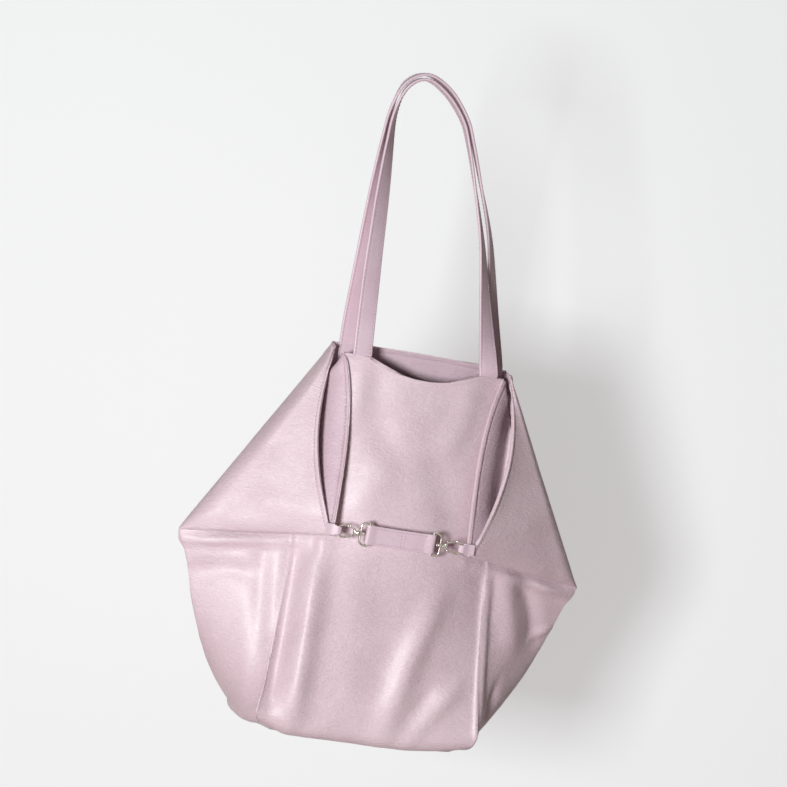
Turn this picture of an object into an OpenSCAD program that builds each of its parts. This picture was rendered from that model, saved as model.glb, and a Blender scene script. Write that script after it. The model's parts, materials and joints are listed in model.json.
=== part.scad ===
// A soft trapeze bag, hanging from its two handles with both side wings folded and clipped in front.
// Frame: +Z up, the front faces -Y, the origin is on the ground under the middle of the base.
// The wall is one folded sheet, worked out as a grid: columns run round the bag from the middle of
// the front, over the right wing, the back and the left wing; rows run down from the rim.

/* [Body] */
// Height of the rim at the handle corners
rim_z = 395; // [385:1:405]
// How far the middle of the front rim sags
rim_sag = 15; // [8:1:20]
// Half width of the front rim between its folded corners
corner_x = 86; // [82:1:90]
// Half width of the back rim
back_corner_x = 94; // [92:1:98]
// Half width at the tips of the wings
wing_x = 218; // [205:1:225]
// Height of the wing tips
wing_z = 184; // [178:1:190]
// Half width of the base
base_x = 118; // [112:1:122]
// Half depth of the base
base_y = 71; // [64:1:76]
// Thickness of the leather wall
wall = 1.8; // [1.6:0.1:2]
// Thickness of the band that faces the inside of the rim
facing = 0.8; // [0.6:0.1:0.9]

/* [Handles] */
// Width of each strap
strap_w = 20; // [14:1:24]
// Thickness of each strap
strap_t = 3; // [2:0.2:3.4]
// Height of the top of the inner strap
grip_z = 683; // [670:1:700]

/* [Clasps] */
// Length of the connector strap between its two eyes
connector_l = 68; // [60:1:72]
// Width of the connector strap
connector_w = 20; // [16:1:20]
// Outer radius of a snap hook's bow
bow_r = 7.2; // [6.8:0.1:7.4]
// Radius of the wire of the eyes
wire_r = 1.2; // [1:0.1:1.3]
// Radius of the swivel stud
stud_r = 1.4; // [1.2:0.1:1.5]
// Radius of the gate's pin
pin_r = 0.6; // [0.5:0.05:0.65]

/* [Hidden] */
$fn = 48;
LEATHER = [0.84, 0.75, 0.79];
LINING = [0.74, 0.66, 0.70];
NICKEL = [0.78, 0.76, 0.73];
BOARD = [0.72, 0.66, 0.58];

// Where the connector hangs: its middle lies a little left of the bag's middle
connector_x = -2;
clasp_y = -67;
clasp_z = 219.5;

// Corner points of the folded sheet, on the right side
FRONT_CORNER = [corner_x, -22, rim_z];
BACK_CORNER = [back_corner_x, 5, rim_z + 6];
WING_TIP = [wing_x, 0, wing_z];
TOP_CENTRE = [73, -63, 213];

// The grid: columns from a panel's middle to its corner, to the seam, and to the wing's crease
panel_n = 6;
corner_n = 4;
wing_n = 10;
seam_k = panel_n + corner_n;
crease_k = seam_k + wing_n;
around_n = 4 * crease_k;
fold_n = corner_n + wing_n;
wall_rows = 23;
rows_n = wall_rows + 2;

// Where the panels' seams cross the folds, as a share of the fold
seam_s = 0.215;
panel_half = 124;
row_step = 9.5;
facing_rows = 4;
hem_z = 14;
corner_lift = 11;

// How far apart the folded layers lie: flap to panel, and wing to the fold that it wraps round
fold_gap = 2.75;
layer_gap = 5;
wrap_share = 0.35;

// Heights and places of the seams, the panels' middles and the wing's lower crease
FRONT_MID_Y = [[0, -73], [14, -73], [100, -65], [205, -54], [300, -44], [380, -32]];
FRONT_SEAM_Y = [[0, -base_y], [14, -base_y], [100, -50], [205, -27], [350, -18]];
BACK_MID_Y = [[0, 73], [14, 73], [100, 57], [205, 38], [300, 22], [401, 6]];
BACK_SEAM_Y = [[0, base_y], [14, base_y], [100, 46], [205, 22], [354, 5]];
FRONT_SEAM_X = [[0, base_x], [100, 109], [205, 104], [350, 106]];
BACK_SEAM_X = [[0, base_x], [100, 111], [205, 110], [354, 120]];
CREASE_X = [[0, base_x + 4], [35, 152], [73, 174], [108, 189], [134, 197.5],
    [160, 206], [wing_z, wing_x]];
ROUNDING = [[0, 0.75], [100, 0.85], [wing_z, 1.2], [rim_z, 1.5]];

function mix(a, b, t) = a + (b - a) * t;
function unit(v) = v / norm(v);
function mirrored(p, side) = [side * p.x, p.y, p.z];

// The share of the fold at a column, and the row where that column meets the fold
function fold_row(k) = max(0, k - panel_n);
function fold_s(k) = k <= seam_k ? seam_s * fold_row(k) / corner_n
    : mix(seam_s, 1, (k - seam_k) / wing_n);

// The four lines that a wing's folds and edges follow, from the rim (0) to the tip or tab (1)
function front_fold(s) = s >= 1 ? WING_TIP
    : mix(FRONT_CORNER, WING_TIP + [-4, -3, 2], s) - [9 * sqrt(sin(180 * s)), 0, 0];
function back_fold(s) = s >= 1 ? WING_TIP : mix(BACK_CORNER, WING_TIP + [-1, 3, 2], s);
function front_edge(s) = s >= 1 ? TOP_CENTRE
    : mix(FRONT_CORNER, TOP_CENTRE + [-2, 3, 5], s) - [9 * sin(180 * pow(s, 0.7)), 0, 0];
function back_edge(s) = s >= 1 ? TOP_CENTRE
    : mix(BACK_CORNER, TOP_CENTRE + [3, -2, 5], s)
        + [17 * sin(180 * s), -14 * sin(180 * pow(s, 0.45)), 0];
function fold_line(back, s) = back ? back_fold(s) : front_fold(s);

// How far down the folded flap a row lies, from its rim edge (0) to the fold (1)
function flap_share(k, j, len) = let(n = fold_row(k))
    n <= facing_rows ? j / n
    : j <= facing_rows ? row_step * j / len
    : mix(row_step * facing_rows / len, 1, (j - facing_rows) / (n - facing_rows));

// A point on the front flap, which lies in front of the front panel and just clear of it
function front_flap(k, j) = let(s = fold_s(k), a = front_edge(s), b = front_fold(s),
        w = flap_share(k, j, norm(b - a)))
    s >= 1 ? mix(a, b, w) : mix(a, b, w) - [0, fold_gap, 0];

// A point on the back flap, the visible wing, which wraps round the front fold
function back_flap(k, j) = let(s = fold_s(k), a = back_edge(s), b = back_fold(s),
        w = flap_share(k, j, norm(b - a)), front_y = front_fold(s).y - layer_gap, p = mix(a, b, w),
        near = 1 / (fold_row(k) - j))
    s >= 1 ? p : [p.x, mix(a.y, front_y, w) + (b.y - front_y) * wrap_share * w * pow(near, 3), p.z];

// The unfolded stretch of the wall below the fold, on one side of the bag
function fold_share(back, z) = let(top = back ? BACK_CORNER.z : FRONT_CORNER.z)
    max(0, min(0.999, (top - z) / (top - wing_z - 2)));
function panel_u(k) = k <= panel_n ? corner_x * k / panel_n
    : mix(corner_x, panel_half, (k - panel_n) / corner_n);
function mid_y(back, z) = lookup(z, back ? BACK_MID_Y : FRONT_MID_Y);
function seam_y(back, z) = lookup(z, back ? BACK_SEAM_Y : FRONT_SEAM_Y);
function seam_x(back, z) = lookup(z, back ? BACK_SEAM_X : FRONT_SEAM_X);

function panel_at(back, k, z) = let(s = fold_share(back, z), fold = fold_line(back, s),
        upper = s < seam_s,
        e = panel_u(k) / (upper ? mix(corner_x, panel_half, s / seam_s) : panel_half),
        out_x = upper ? fold.x : seam_x(back, z), out_y = upper ? fold.y : seam_y(back, z))
    [out_x * min(1, e), mix(mid_y(back, z), out_y, min(1, e * e)), z];

function gusset_at(back, k, z) = let(s = fold_share(back, z), fold = fold_line(back, s),
        last = z <= wing_z ? crease_k : seam_k + wing_n * (s - seam_s) / (1 - seam_s),
        f = max(0, min(1, (k - seam_k) / max(0.001, last - seam_k))),
        out_x = z >= wing_z ? fold.x : lookup(z, CREASE_X), out_y = z >= wing_z ? fold.y : 0,
        h = 1 - pow(1 - f, lookup(z, ROUNDING)))
    [mix(seam_x(back, z), out_x, f), mix(seam_y(back, z), out_y, h), z];

// The rim's height: the back rim is nearly straight, the front one sags between the two straps
sag_half = 60;
function rim_height(back, x) = back ? mix(rim_z + 9, BACK_CORNER.z, pow(x / back_corner_x, 2))
    : x >= sag_half ? rim_z : rim_z - rim_sag * pow(cos(90 * x / sag_half), 0.8);
function rim_point(back, k) = let(corner = back ? BACK_CORNER : FRONT_CORNER, e = k / panel_n,
        x = corner.x * e, mid = back ? 6 : -32)
    [x, mix(mid, corner.y, e * e), rim_height(back, x)];

// The base is flat in the middle, and its corners are lifted where the bag hangs from its handles
flat_part = 0.35;
lift_top = 80;
function corner_share(a, full) = max(0, min(1, (abs(a) / full - flat_part) / (1 - flat_part)));
function lift(x, y) = corner_lift * pow(corner_share(x, base_x) * corner_share(y, base_y), 2);
function hem_share(z) = max(0, min(1, (lift_top - z) / (lift_top - hem_z)));

function wall_point(back, k, j) = let(n = fold_row(k), start = max(facing_rows, n),
        top = k <= panel_n ? rim_point(back, k).z : fold_line(back, fold_s(k)).z,
        z_start = top - row_step * (start - n),
        z = j <= start ? top - row_step * (j - n)
            : mix(z_start, hem_z, (j - start) / (wall_rows - start)),
        p = k <= seam_k ? panel_at(back, k, z) : gusset_at(back, k, z))
    j > n ? p + [0, 0, lift(p.x, p.y) * hem_share(z)]
    : k <= panel_n ? rim_point(back, k) : fold_line(back, fold_s(k));

// The wall's lower edge turns in to the base in two steps: how far in, how high, how much lifted
TURN_IN = [[3, 4.5, 0.95], [12, wall / 2, 0.75]];
function hem_point(back, k, j) = let(p = wall_point(back, k, wall_rows),
        step = TURN_IN[j - wall_rows - 1],
        x = p.x * (1 - step[0] / base_x), y = p.y * (1 - step[0] / base_y))
    [x, y, step[1] + lift(p.x, p.y) * step[2]];

function half_point(back, k, j) = j > wall_rows ? hem_point(back, k, j)
    : j >= fold_row(k) && k < crease_k || j >= fold_n ? wall_point(back, k, j)
    : back ? back_flap(k, j) : front_flap(k, j);

// Column c of the whole wall: 0 is the middle of the front, counted towards the right
function column(c) = let(m = ((c % around_n) + around_n) % around_n, h = m % (2 * crease_k),
        k = h <= crease_k ? h : 2 * crease_k - h)
    [k, m > crease_k && m < 3 * crease_k, m <= 2 * crease_k ? 1 : -1];
GRID = [for (c = [0:around_n - 1]) let(q = column(c))
    [for (j = [0:rows_n]) mirrored(half_point(q[1], q[0], j), q[2])]];
function at(c, j) = GRID[((c % around_n) + around_n) % around_n][max(0, min(rows_n, j))];

// The outward direction at a grid point: on a fold it points along the folded layers, away from
// them where the outside of the leather is on the outside of the fold, and into them on the front
function from_middle(c, j, a, b) = unit(at(c, j) - (a + b) / 2);
function outward(c, j) = let(q = column(c))
    q[0] == crease_k && j <= fold_n ? from_middle(c, j, at(c - 1, j), at(c + 1, j))
    : q[0] > panel_n && j == fold_row(q[0])
        ? from_middle(c, j, at(c, j - 1), at(c, j + 1)) * (q[1] ? 1 : -1)
    : unit(cross(at(c, j + 1) - at(c, j - 1), at(c + 1, j) - at(c - 1, j)));

// The thickness at a grid point; the leather is pared down at the tips
function leather_t(c, j) = let(d = max(abs(column(c)[0] - crease_k), abs(j - fold_n)))
    wall * (d == 0 ? 0.4 : d == 1 ? 0.6 : d == 2 ? 0.8 : 1);
NORMALS = [for (c = [0:around_n - 1]) [for (j = [0:rows_n]) outward(c, j)]];
function normal(c, j) = NORMALS[((c % around_n) + around_n) % around_n][j];
function layer(c0, c1, j0, j1, depth) = [for (c = [c0:c1]) [for (j = [j0:j1])
    at(c, j) - normal(c, j) * (depth < 0 ? -leather_t(c, j) / 2 : leather_t(c, j) / 2 + depth)]];

// Whether a cell's diagonal runs down and away from column c: it has to follow the folds
function runs_down(c) = column(c + 1)[0] > column(c)[0];

// A closed sheet between two surfaces given as columns of points
module sheet(outer, inner, c0) {
    nc = len(outer);
    nj = len(outer[0]);
    skin = nc * nj;
    function id(side, c, j) = side * skin + c * nj + j;
    function quad(a, b, c, d, down) = down ? [[a, b, c], [a, c, d]] : [[a, b, d], [b, c, d]];
    points = concat([for (col = outer) each col], [for (col = inner) each col]);
    front = [for (c = [0:nc - 2]) for (j = [0:nj - 2]) each quad(
        id(0, c, j), id(0, c + 1, j), id(0, c + 1, j + 1), id(0, c, j + 1), runs_down(c0 + c))];
    back = [for (c = [0:nc - 2]) for (j = [0:nj - 2]) each quad(
        id(1, c + 1, j), id(1, c, j), id(1, c, j + 1), id(1, c + 1, j + 1), !runs_down(c0 + c))];
    ends = [for (j = [0:nj - 2]) each concat(
        quad(id(1, 0, j), id(0, 0, j), id(0, 0, j + 1), id(1, 0, j + 1), true),
        quad(id(0, nc - 1, j), id(1, nc - 1, j), id(1, nc - 1, j + 1), id(0, nc - 1, j + 1), false))];
    rims = [for (c = [0:nc - 2]) each concat(
        quad(id(1, c, 0), id(1, c + 1, 0), id(0, c + 1, 0), id(0, c, 0), true),
        quad(id(0, c, nj - 1), id(0, c + 1, nj - 1), id(1, c + 1, nj - 1), id(1, c, nj - 1), true))];
    polyhedron(points = points, faces = concat(front, back, ends, rims), convexity = 10);
}

module wall_part(c0, c1) {
    color(LEATHER) sheet(layer(c0, c1, 0, rows_n, -1), layer(c0, c1, 0, rows_n, 0), c0);
}

facing_gap = 0.1;
module facing_part(c0, c1) {
    color(LINING) sheet(layer(c0, c1, 0, facing_rows, facing_gap),
        layer(c0, c1, 0, facing_rows, facing_gap + facing), c0);
}

module front_panel() { wall_part(-seam_k, seam_k); }
module right_gusset() { wall_part(seam_k, 2 * crease_k - seam_k); }
module back_panel() { wall_part(2 * crease_k - seam_k, 2 * crease_k + seam_k); }
module left_gusset() { wall_part(2 * crease_k + seam_k, around_n - seam_k); }
module front_facing() { facing_part(-seam_k, seam_k); }
module right_facing() { facing_part(seam_k, 2 * crease_k - seam_k); }
module back_facing() { facing_part(2 * crease_k - seam_k, 2 * crease_k + seam_k); }
module left_facing() { facing_part(2 * crease_k + seam_k, around_n - seam_k); }

// The base closes the ring of the wall's last row: it has the same edge, and is flat in the middle
BASE_RINGS = [1, 0.8, 0.55, 0.3];
module base_panel() {
    nr = len(BASE_RINGS);
    lifted = TURN_IN[1][2];
    function mid(c, r) = let(p = at(c, rows_n), x = p.x * BASE_RINGS[r], y = p.y * BASE_RINGS[r])
        [x, y, r == 0 ? p.z : wall / 2 + lifted * lift(x, y)];
    function facing_down(c, r) = r == 0 ? normal(c, rows_n) : [0, 0, -1];
    function skin(side) = [for (c = [0:around_n - 1]) for (r = [0:nr - 1])
        mid(c, r) + facing_down(c, r) * side * wall / 2];
    n = around_n * nr;
    points = concat(skin(1), skin(-1), [[0, 0, 0], [0, 0, wall]]);
    function id(side, c, r) = side * n + (c % around_n) * nr + r;
    function quad(a, b, c, d) = [[a, b, c], [a, c, d]];
    under = [for (c = [0:around_n - 1]) for (r = [0:nr - 2]) each
        quad(id(0, c, r), id(0, c + 1, r), id(0, c + 1, r + 1), id(0, c, r + 1))];
    upper = [for (c = [0:around_n - 1]) for (r = [0:nr - 2]) each
        quad(id(1, c + 1, r), id(1, c, r), id(1, c, r + 1), id(1, c + 1, r + 1))];
    rim = [for (c = [0:around_n - 1]) each
        quad(id(1, c, 0), id(1, c + 1, 0), id(0, c + 1, 0), id(0, c, 0))];
    middles = [for (c = [0:around_n - 1]) each [
        [id(0, c, nr - 1), id(0, c + 1, nr - 1), 2 * n],
        [id(1, c + 1, nr - 1), id(1, c, nr - 1), 2 * n + 1]]];
    color(LEATHER) polyhedron(points = points, faces = concat(under, upper, rim, middles),
        convexity = 4);
}

// The stiff board that lies loose on the inside of the base
board_x = 176;
board_y = 92;
board_r = 20;
board_t = 2;
board_gap = 0.8;
module base_board() {
    color(BOARD) translate([0, 0, wall + board_gap]) linear_extrude(board_t) {
        square([board_x - 2 * board_r, board_y], center = true);
        square([board_x, board_y - 2 * board_r], center = true);
        for (side = [-1, 1], end = [-1, 1])
            translate([side * (board_x / 2 - board_r), end * (board_y / 2 - board_r)]) circle(board_r);
    }
}

// The two handles: routes of the straps' middle lines, from the left end to the right end
FRONT_ROUTE = [[-68, -25.7, 396], [-70, -23, 425], [-73, -15, 490], [-75, -8, 555], [-76.5, -2, 610],
    [-76, 0, grip_z - 38], [-68, 0, grip_z - 11], [-50, 0, grip_z], [-27, 0, grip_z - 11],
    [-6, 0, grip_z - 33], [5, -1, grip_z - 55], [19, -5, 588], [36, -13, 532], [53, -20, 460],
    [68, -25.7, 396]];
REAR_ROUTE = [[-78, 5.3, 403.5], [-79, 5, 430], [-79.5, 4, 490], [-80.5, 3, 555], [-81.5, 1, 610],
    [-81, 0, grip_z - 36], [-71.5, 0, grip_z - 7], [-50, 0, grip_z + 5], [-24, 0, grip_z - 6.5],
    [-2, 0, grip_z - 30], [10, 1, grip_z - 53], [27, 3, 590], [50, 5, 532], [66, 5, 465],
    [80, 5.3, 403.5]];
strap_steps = 3;

// How far a strap is turned at each height, on its way up on the left and down on the right
RISING = [[398, 0], [471, 13], [512, 24], [553, 33], [583, 44], [614, 58], [655, 76], [grip_z, 90]];
FALLING = [[404, 0], [428, 22], [475, 46], [532, 66], [591, 78], [650, 86], [grip_z, 90]];

// A smooth curve through the route's points
function knot(route, i) = route[max(0, min(len(route) - 1, i))];
function curve(route, t) = let(i = min(floor(t), len(route) - 2), f = t - i,
        a = knot(route, i - 1), b = knot(route, i), c = knot(route, i + 1), d = knot(route, i + 2))
    b + 0.5 * f * ((c - a) + f * ((2 * a - 5 * b + 4 * c - d) + f * (3 * (b - c) + d - a)));

// The strap lies flat on the panel at its ends. It turns a quarter on its way up to lie flat over
// the hand, and a quarter more, the same way round, on its way down
module strap(route, face) {
    n = (len(route) - 1) * strap_steps;
    function along(i) = i == 0 ? [0, 0, 1] : i == n ? [0, 0, -1]
        : unit(curve(route, (i + 0.5) / strap_steps) - curve(route, (i - 0.5) / strap_steps));
    function ring(i) = let(p = curve(route, i / strap_steps), t = along(i),
            turn = i > n / 2 ? 180 - lookup(p.z, FALLING) : lookup(p.z, RISING),
            flat = unit([0, face, 0] - t * (t.y * face)),
            out = flat * cos(turn) + cross(t, flat) * sin(turn), wide = cross(t, out))
        [for (q = [[-1, -1], [1, -1], [1, 1], [-1, 1]])
            p + wide * q[0] * strap_w / 2 + out * q[1] * strap_t / 2];
    points = [for (i = [0:n]) each ring(i)];
    sides = [for (i = [0:n - 1]) for (q = [0:3]) let(a = 4 * i + q, b = 4 * i + (q + 1) % 4)
        each [[a, b, b + 4], [a, b + 4, a + 4]]];
    color(LEATHER) polyhedron(points = points,
        faces = concat([[3, 2, 1, 0]], sides, [[4 * n, 4 * n + 1, 4 * n + 2, 4 * n + 3]]),
        convexity = 6);
}

module front_handle() { strap(FRONT_ROUTE, -1); }
module rear_handle() { strap(REAR_ROUTE, 1); }

// The clasps: x runs outwards from the base of the hook's collar, z is up
eye_reach = 10.3;
eye_half = 11.6;
eye_corner = 5;
running_gap = 0.05;
boss_r = 2.6;
boss_l = 2.6;
boss_x = -3.2;
bow_x = 16;
bow_wire = 1.9;
bow_t = 2.4;
body_t = 4;
gate_t = 1.8;
pivot = [4.6, 3.1];
gate_reach = 12.3;
nose_gap = 0.3;
slot_t = 2.4;
tongue_t = 1.3;
tongue_r = 1.3;
tongue_y = 0.45;
tangent_rise = 12.6;
spring_turns = 3;
spring_wire = 0.11;
spring_r = 1;

module at_clasp(side) {
    translate([connector_x + side * (connector_l / 2 + eye_reach), clasp_y, clasp_z])
        mirror([side < 0 ? 1 : 0, 0, 0]) children();
}

module upright(t) { rotate([90, 0, 0]) linear_extrude(t, center = true) children(); }

module strap_eye(side) {
    outer_x = boss_x + boss_l / 2;
    arc_x = outer_x - eye_corner;
    color(NICKEL) at_clasp(side) difference() {
        union() {
            translate([-eye_reach, 0, 0]) cylinder(h = 2 * eye_half, r = wire_r, center = true);
            translate([outer_x, 0, 0]) cylinder(h = 2 * (eye_half - eye_corner), r = wire_r, center = true);
            for (up = [-1, 1]) {
                translate([-eye_reach, 0, up * eye_half]) sphere(wire_r);
                translate([-eye_reach, 0, up * eye_half]) rotate([0, 90, 0])
                    cylinder(h = arc_x + eye_reach, r = wire_r);
                translate([arc_x, 0, up * (eye_half - eye_corner)]) mirror([0, 0, up < 0 ? 1 : 0])
                    rotate([90, 0, 0]) rotate_extrude(angle = 90) translate([eye_corner, 0]) circle(wire_r);
            }
            translate([boss_x, 0, 0]) rotate([0, 90, 0]) cylinder(h = boss_l, r = boss_r);
        }
        translate([boss_x - 1, 0, 0]) rotate([0, 90, 0])
            cylinder(h = boss_l + 2, r = stud_r + running_gap);
    }
}

// A teardrop round the bow's circle, with straight sides that run back to the collar
module teardrop(r, x_back) {
    tip = [bow_x - r * sin(tangent_rise), r * cos(tangent_rise)];
    back_y = tip.y - tan(tangent_rise) * (tip.x - x_back);
    translate([bow_x, 0]) circle(r);
    polygon([[x_back, back_y], tip, [tip.x, -tip.y], [x_back, -back_y]]);
}

module bow_band() {
    difference() {
        teardrop(bow_r, 5);
        teardrop(bow_r - bow_wire, 6);
    }
}

module upper_side(x_from) { translate([x_from, 1.5]) square([30, 12]); }

module hook_body(side) {
    color(NICKEL) at_clasp(side) difference() {
        union() {
            rotate([0, 90, 0]) cylinder(h = 2, r = boss_r);
            translate([-4.6, 0, 0]) rotate([0, 90, 0]) cylinder(h = 5, r = stud_r);
            translate([-5.1, 0, 0]) sphere(1.75);
            upright(body_t) polygon([[1.5, 2.4], [5.5, 4.9], [6, 4.9], [6, -4.9], [5.5, -4.9], [1.5, -2.4]]);
            upright(bow_t) difference() {
                bow_band();
                intersection() {
                    upper_side(6);
                    translate(pivot) circle(gate_reach + nose_gap);
                }
            }
        }
        translate([2.6, -slot_t / 2, 1.4]) cube([6, slot_t, 6]);
        translate([pivot.x, 0, pivot.y]) rotate([90, 0, 0]) cylinder(h = 10, r = pin_r, center = true);
    }
}

module gate(side) {
    color(NICKEL) at_clasp(side) difference() {
        union() {
            upright(gate_t) intersection() {
                bow_band();
                translate(pivot) circle(gate_reach);
                upper_side(7.2);
            }
            translate([0, -tongue_y, 0]) upright(tongue_t) {
                translate(pivot) circle(tongue_r);
                polygon([[pivot.x, pivot.y + tongue_r], [7.4, 5.1], [7.4, 3.7], [pivot.x, pivot.y - 0.6]]);
            }
            translate([9.4, 0, 6.2]) rotate([90, 0, 0]) cylinder(h = gate_t, r = 1.1, center = true);
        }
        translate([pivot.x, 0, pivot.y]) rotate([90, 0, 0])
            cylinder(h = 10, r = pin_r + running_gap, center = true);
    }
}

module gate_pin(side) {
    color(NICKEL) at_clasp(side) translate([pivot.x, 0, pivot.y]) rotate([90, 0, 0])
        cylinder(h = body_t, r = pin_r, center = true);
}

// The coil beside the gate's tongue that closes the gate: one unbroken tube round the pin
module gate_spring(side) {
    per_turn = 8;
    n = spring_turns * per_turn;
    y0 = 0.3;
    y1 = slot_t / 2 - spring_wire - 0.03;
    function ring(i) = let(a = 360 * i / per_turn)
        [for (q = [0:5]) let(r = spring_r + spring_wire * cos(60 * q))
            [pivot.x + r * cos(a), mix(y0, y1, i / n) + spring_wire * sin(60 * q), pivot.y + r * sin(a)]];
    points = [for (i = [0:n]) each ring(i)];
    sides = [for (i = [0:n - 1]) for (q = [0:5]) let(a = 6 * i + q, b = 6 * i + (q + 1) % 6)
        each [[a, b + 6, b], [a, a + 6, b + 6]]];
    color(NICKEL) at_clasp(side) polyhedron(points = points,
        faces = concat([[0, 1, 2, 3, 4, 5]], sides, [[for (q = [5:-1:0]) 6 * n + q]]), convexity = 6);
}

// The connector: one strip whose ends are folded round the bars of the eyes
strap_end_r = 2.9;
strap_mid_half = 1.6;
strap_taper = 8;
bar_hole_r = wire_r + 0.2;
wedge_l = 6;
module strap_slice() { linear_extrude(connector_w, center = true) children(); }
module connector_strap() {
    half = connector_l / 2;
    end_y = strap_end_r - 0.3;
    wedge_y = bar_hole_r - 0.3;
    color(LEATHER) translate([connector_x, clasp_y, clasp_z]) difference() {
        union() {
            for (side = [-1, 1]) translate([side * half, 0, 0]) strap_slice() circle(strap_end_r);
            strap_slice() polygon([[-half, end_y], [strap_taper - half, strap_mid_half],
                [half - strap_taper, strap_mid_half], [half, end_y], [half, -end_y],
                [half - strap_taper, -strap_mid_half], [strap_taper - half, -strap_mid_half],
                [-half, -end_y]]);
        }
        for (side = [-1, 1]) {
            translate([side * half, 0, 0]) cylinder(h = 2 * connector_w, r = bar_hole_r, center = true);
            linear_extrude(2 * connector_w, center = true) polygon([[side * half, wedge_y],
                [side * (half - wedge_l), 0.1], [side * (half - wedge_l), -0.1], [side * half, -wedge_y]]);
        }
    }
}

// A loop tab: a strip that passes through the hook and is sewn to the top centre of a gusset
tab_leather = 1.3;
tab_inner = 1.95;
tab_end = 14;
tab_grip = 2.15;
module loop_tab(side) {
    reach = eye_reach + bow_x + bow_r - tab_grip;
    x0 = side * connector_x + connector_l / 2 + reach;
    outer = tab_inner + tab_leather;
    color(LEATHER) translate([side * x0, clasp_y, clasp_z]) mirror([side < 0 ? 1 : 0, 0, 0])
        intersection() {
            linear_extrude(20, center = true) difference() {
                union() {
                    circle(outer);
                    polygon([[0, -outer], [8, -1.2], [tab_end, -1.2], [tab_end, 1.4], [8, 1.4], [0, outer]]);
                }
                circle(tab_inner);
                polygon([[0, -tab_inner], [7, 0], [7, 0.2], [0, tab_inner]]);
            }
            upright(20) polygon([[-5, -3.9], [2, -3.9], [7, -6], [tab_end, -6],
                [tab_end, 6], [7, 6], [2, 3.9], [-5, 3.9]]);
        }
}

module left_loop_tab() { loop_tab(-1); }
module right_loop_tab() { loop_tab(1); }
module left_strap_eye() { strap_eye(-1); }
module right_strap_eye() { strap_eye(1); }
module left_hook_body() { hook_body(-1); }
module right_hook_body() { hook_body(1); }
module left_gate() { gate(-1); }
module right_gate() { gate(1); }
module left_gate_pin() { gate_pin(-1); }
module right_gate_pin() { gate_pin(1); }
module left_gate_spring() { gate_spring(-1); }
module right_gate_spring() { gate_spring(1); }

front_panel();
back_panel();
left_gusset();
right_gusset();
base_panel();
base_board();
front_facing();
back_facing();
left_facing();
right_facing();
front_handle();
rear_handle();
left_loop_tab();
right_loop_tab();
connector_strap();
left_strap_eye();
left_hook_body();
left_gate();
left_gate_pin();
left_gate_spring();
right_strap_eye();
right_hook_body();
right_gate();
right_gate_pin();
right_gate_spring();
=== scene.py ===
"""A soft trapeze bag that hangs from its two straps, with both side wings folded and clipped in front."""

import json
import logging
import math
from collections.abc import Callable, Sequence
from dataclasses import dataclass, field
from enum import Enum

import bmesh
import bpy
from mathutils import Matrix, Vector, noise

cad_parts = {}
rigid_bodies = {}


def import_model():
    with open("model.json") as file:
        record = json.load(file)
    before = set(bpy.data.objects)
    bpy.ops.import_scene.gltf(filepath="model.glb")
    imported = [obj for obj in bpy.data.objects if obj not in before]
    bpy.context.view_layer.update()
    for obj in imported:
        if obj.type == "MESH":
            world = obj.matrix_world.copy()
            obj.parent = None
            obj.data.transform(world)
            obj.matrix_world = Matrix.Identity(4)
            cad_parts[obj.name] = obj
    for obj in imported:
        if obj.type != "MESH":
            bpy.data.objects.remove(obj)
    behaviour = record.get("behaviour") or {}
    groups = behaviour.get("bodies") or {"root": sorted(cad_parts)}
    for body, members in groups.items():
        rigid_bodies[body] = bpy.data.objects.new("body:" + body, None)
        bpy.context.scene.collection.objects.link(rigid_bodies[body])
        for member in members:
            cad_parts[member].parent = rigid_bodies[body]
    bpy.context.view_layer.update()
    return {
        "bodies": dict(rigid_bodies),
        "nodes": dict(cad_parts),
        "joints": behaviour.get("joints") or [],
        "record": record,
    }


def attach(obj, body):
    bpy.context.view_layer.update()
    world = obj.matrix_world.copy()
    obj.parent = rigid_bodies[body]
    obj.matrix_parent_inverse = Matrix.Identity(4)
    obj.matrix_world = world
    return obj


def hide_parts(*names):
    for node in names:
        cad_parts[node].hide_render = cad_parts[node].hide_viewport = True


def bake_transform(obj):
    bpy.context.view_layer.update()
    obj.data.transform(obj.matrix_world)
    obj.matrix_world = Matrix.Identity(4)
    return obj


log = logging.getLogger("bag")
MM = 0.001


class Slot(Enum):
    """The record's material slots."""

    LEATHER = "leather"
    FACING = "facing"
    NICKEL = "nickel"
    BOARD = "board"


class Side(Enum):
    """The bag's left and right as the sign of x."""

    LEFT = -1
    RIGHT = 1


def mix(a: float | Vector, b: float | Vector, share: float) -> float | Vector:
    """Return the value that lies the given share of the way from a to b."""
    return a + (b - a) * share


def clamp(value: float, low: float = 0.0, high: float = 1.0) -> float:
    """Return value, held between low and high."""
    return max(low, min(high, value))


def smooth(value: float) -> float:
    """Return a soft step from 0 to 1 for a value between 0 and 1."""
    t = clamp(value)
    return t * t * (3 - 2 * t)


def quarter_round(share: float) -> float:
    """Return the drop of a rounded corner: 1 at share 0, level and 0 from share 1 on."""
    return 1 - math.sqrt(max(0.0, 1 - (1 - clamp(share)) ** 2))


def bell(offset: float) -> float:
    """Return a soft hump: 1 at no offset, a third at 1 and almost 0 at 2."""
    return math.exp(-(offset**2))


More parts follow.
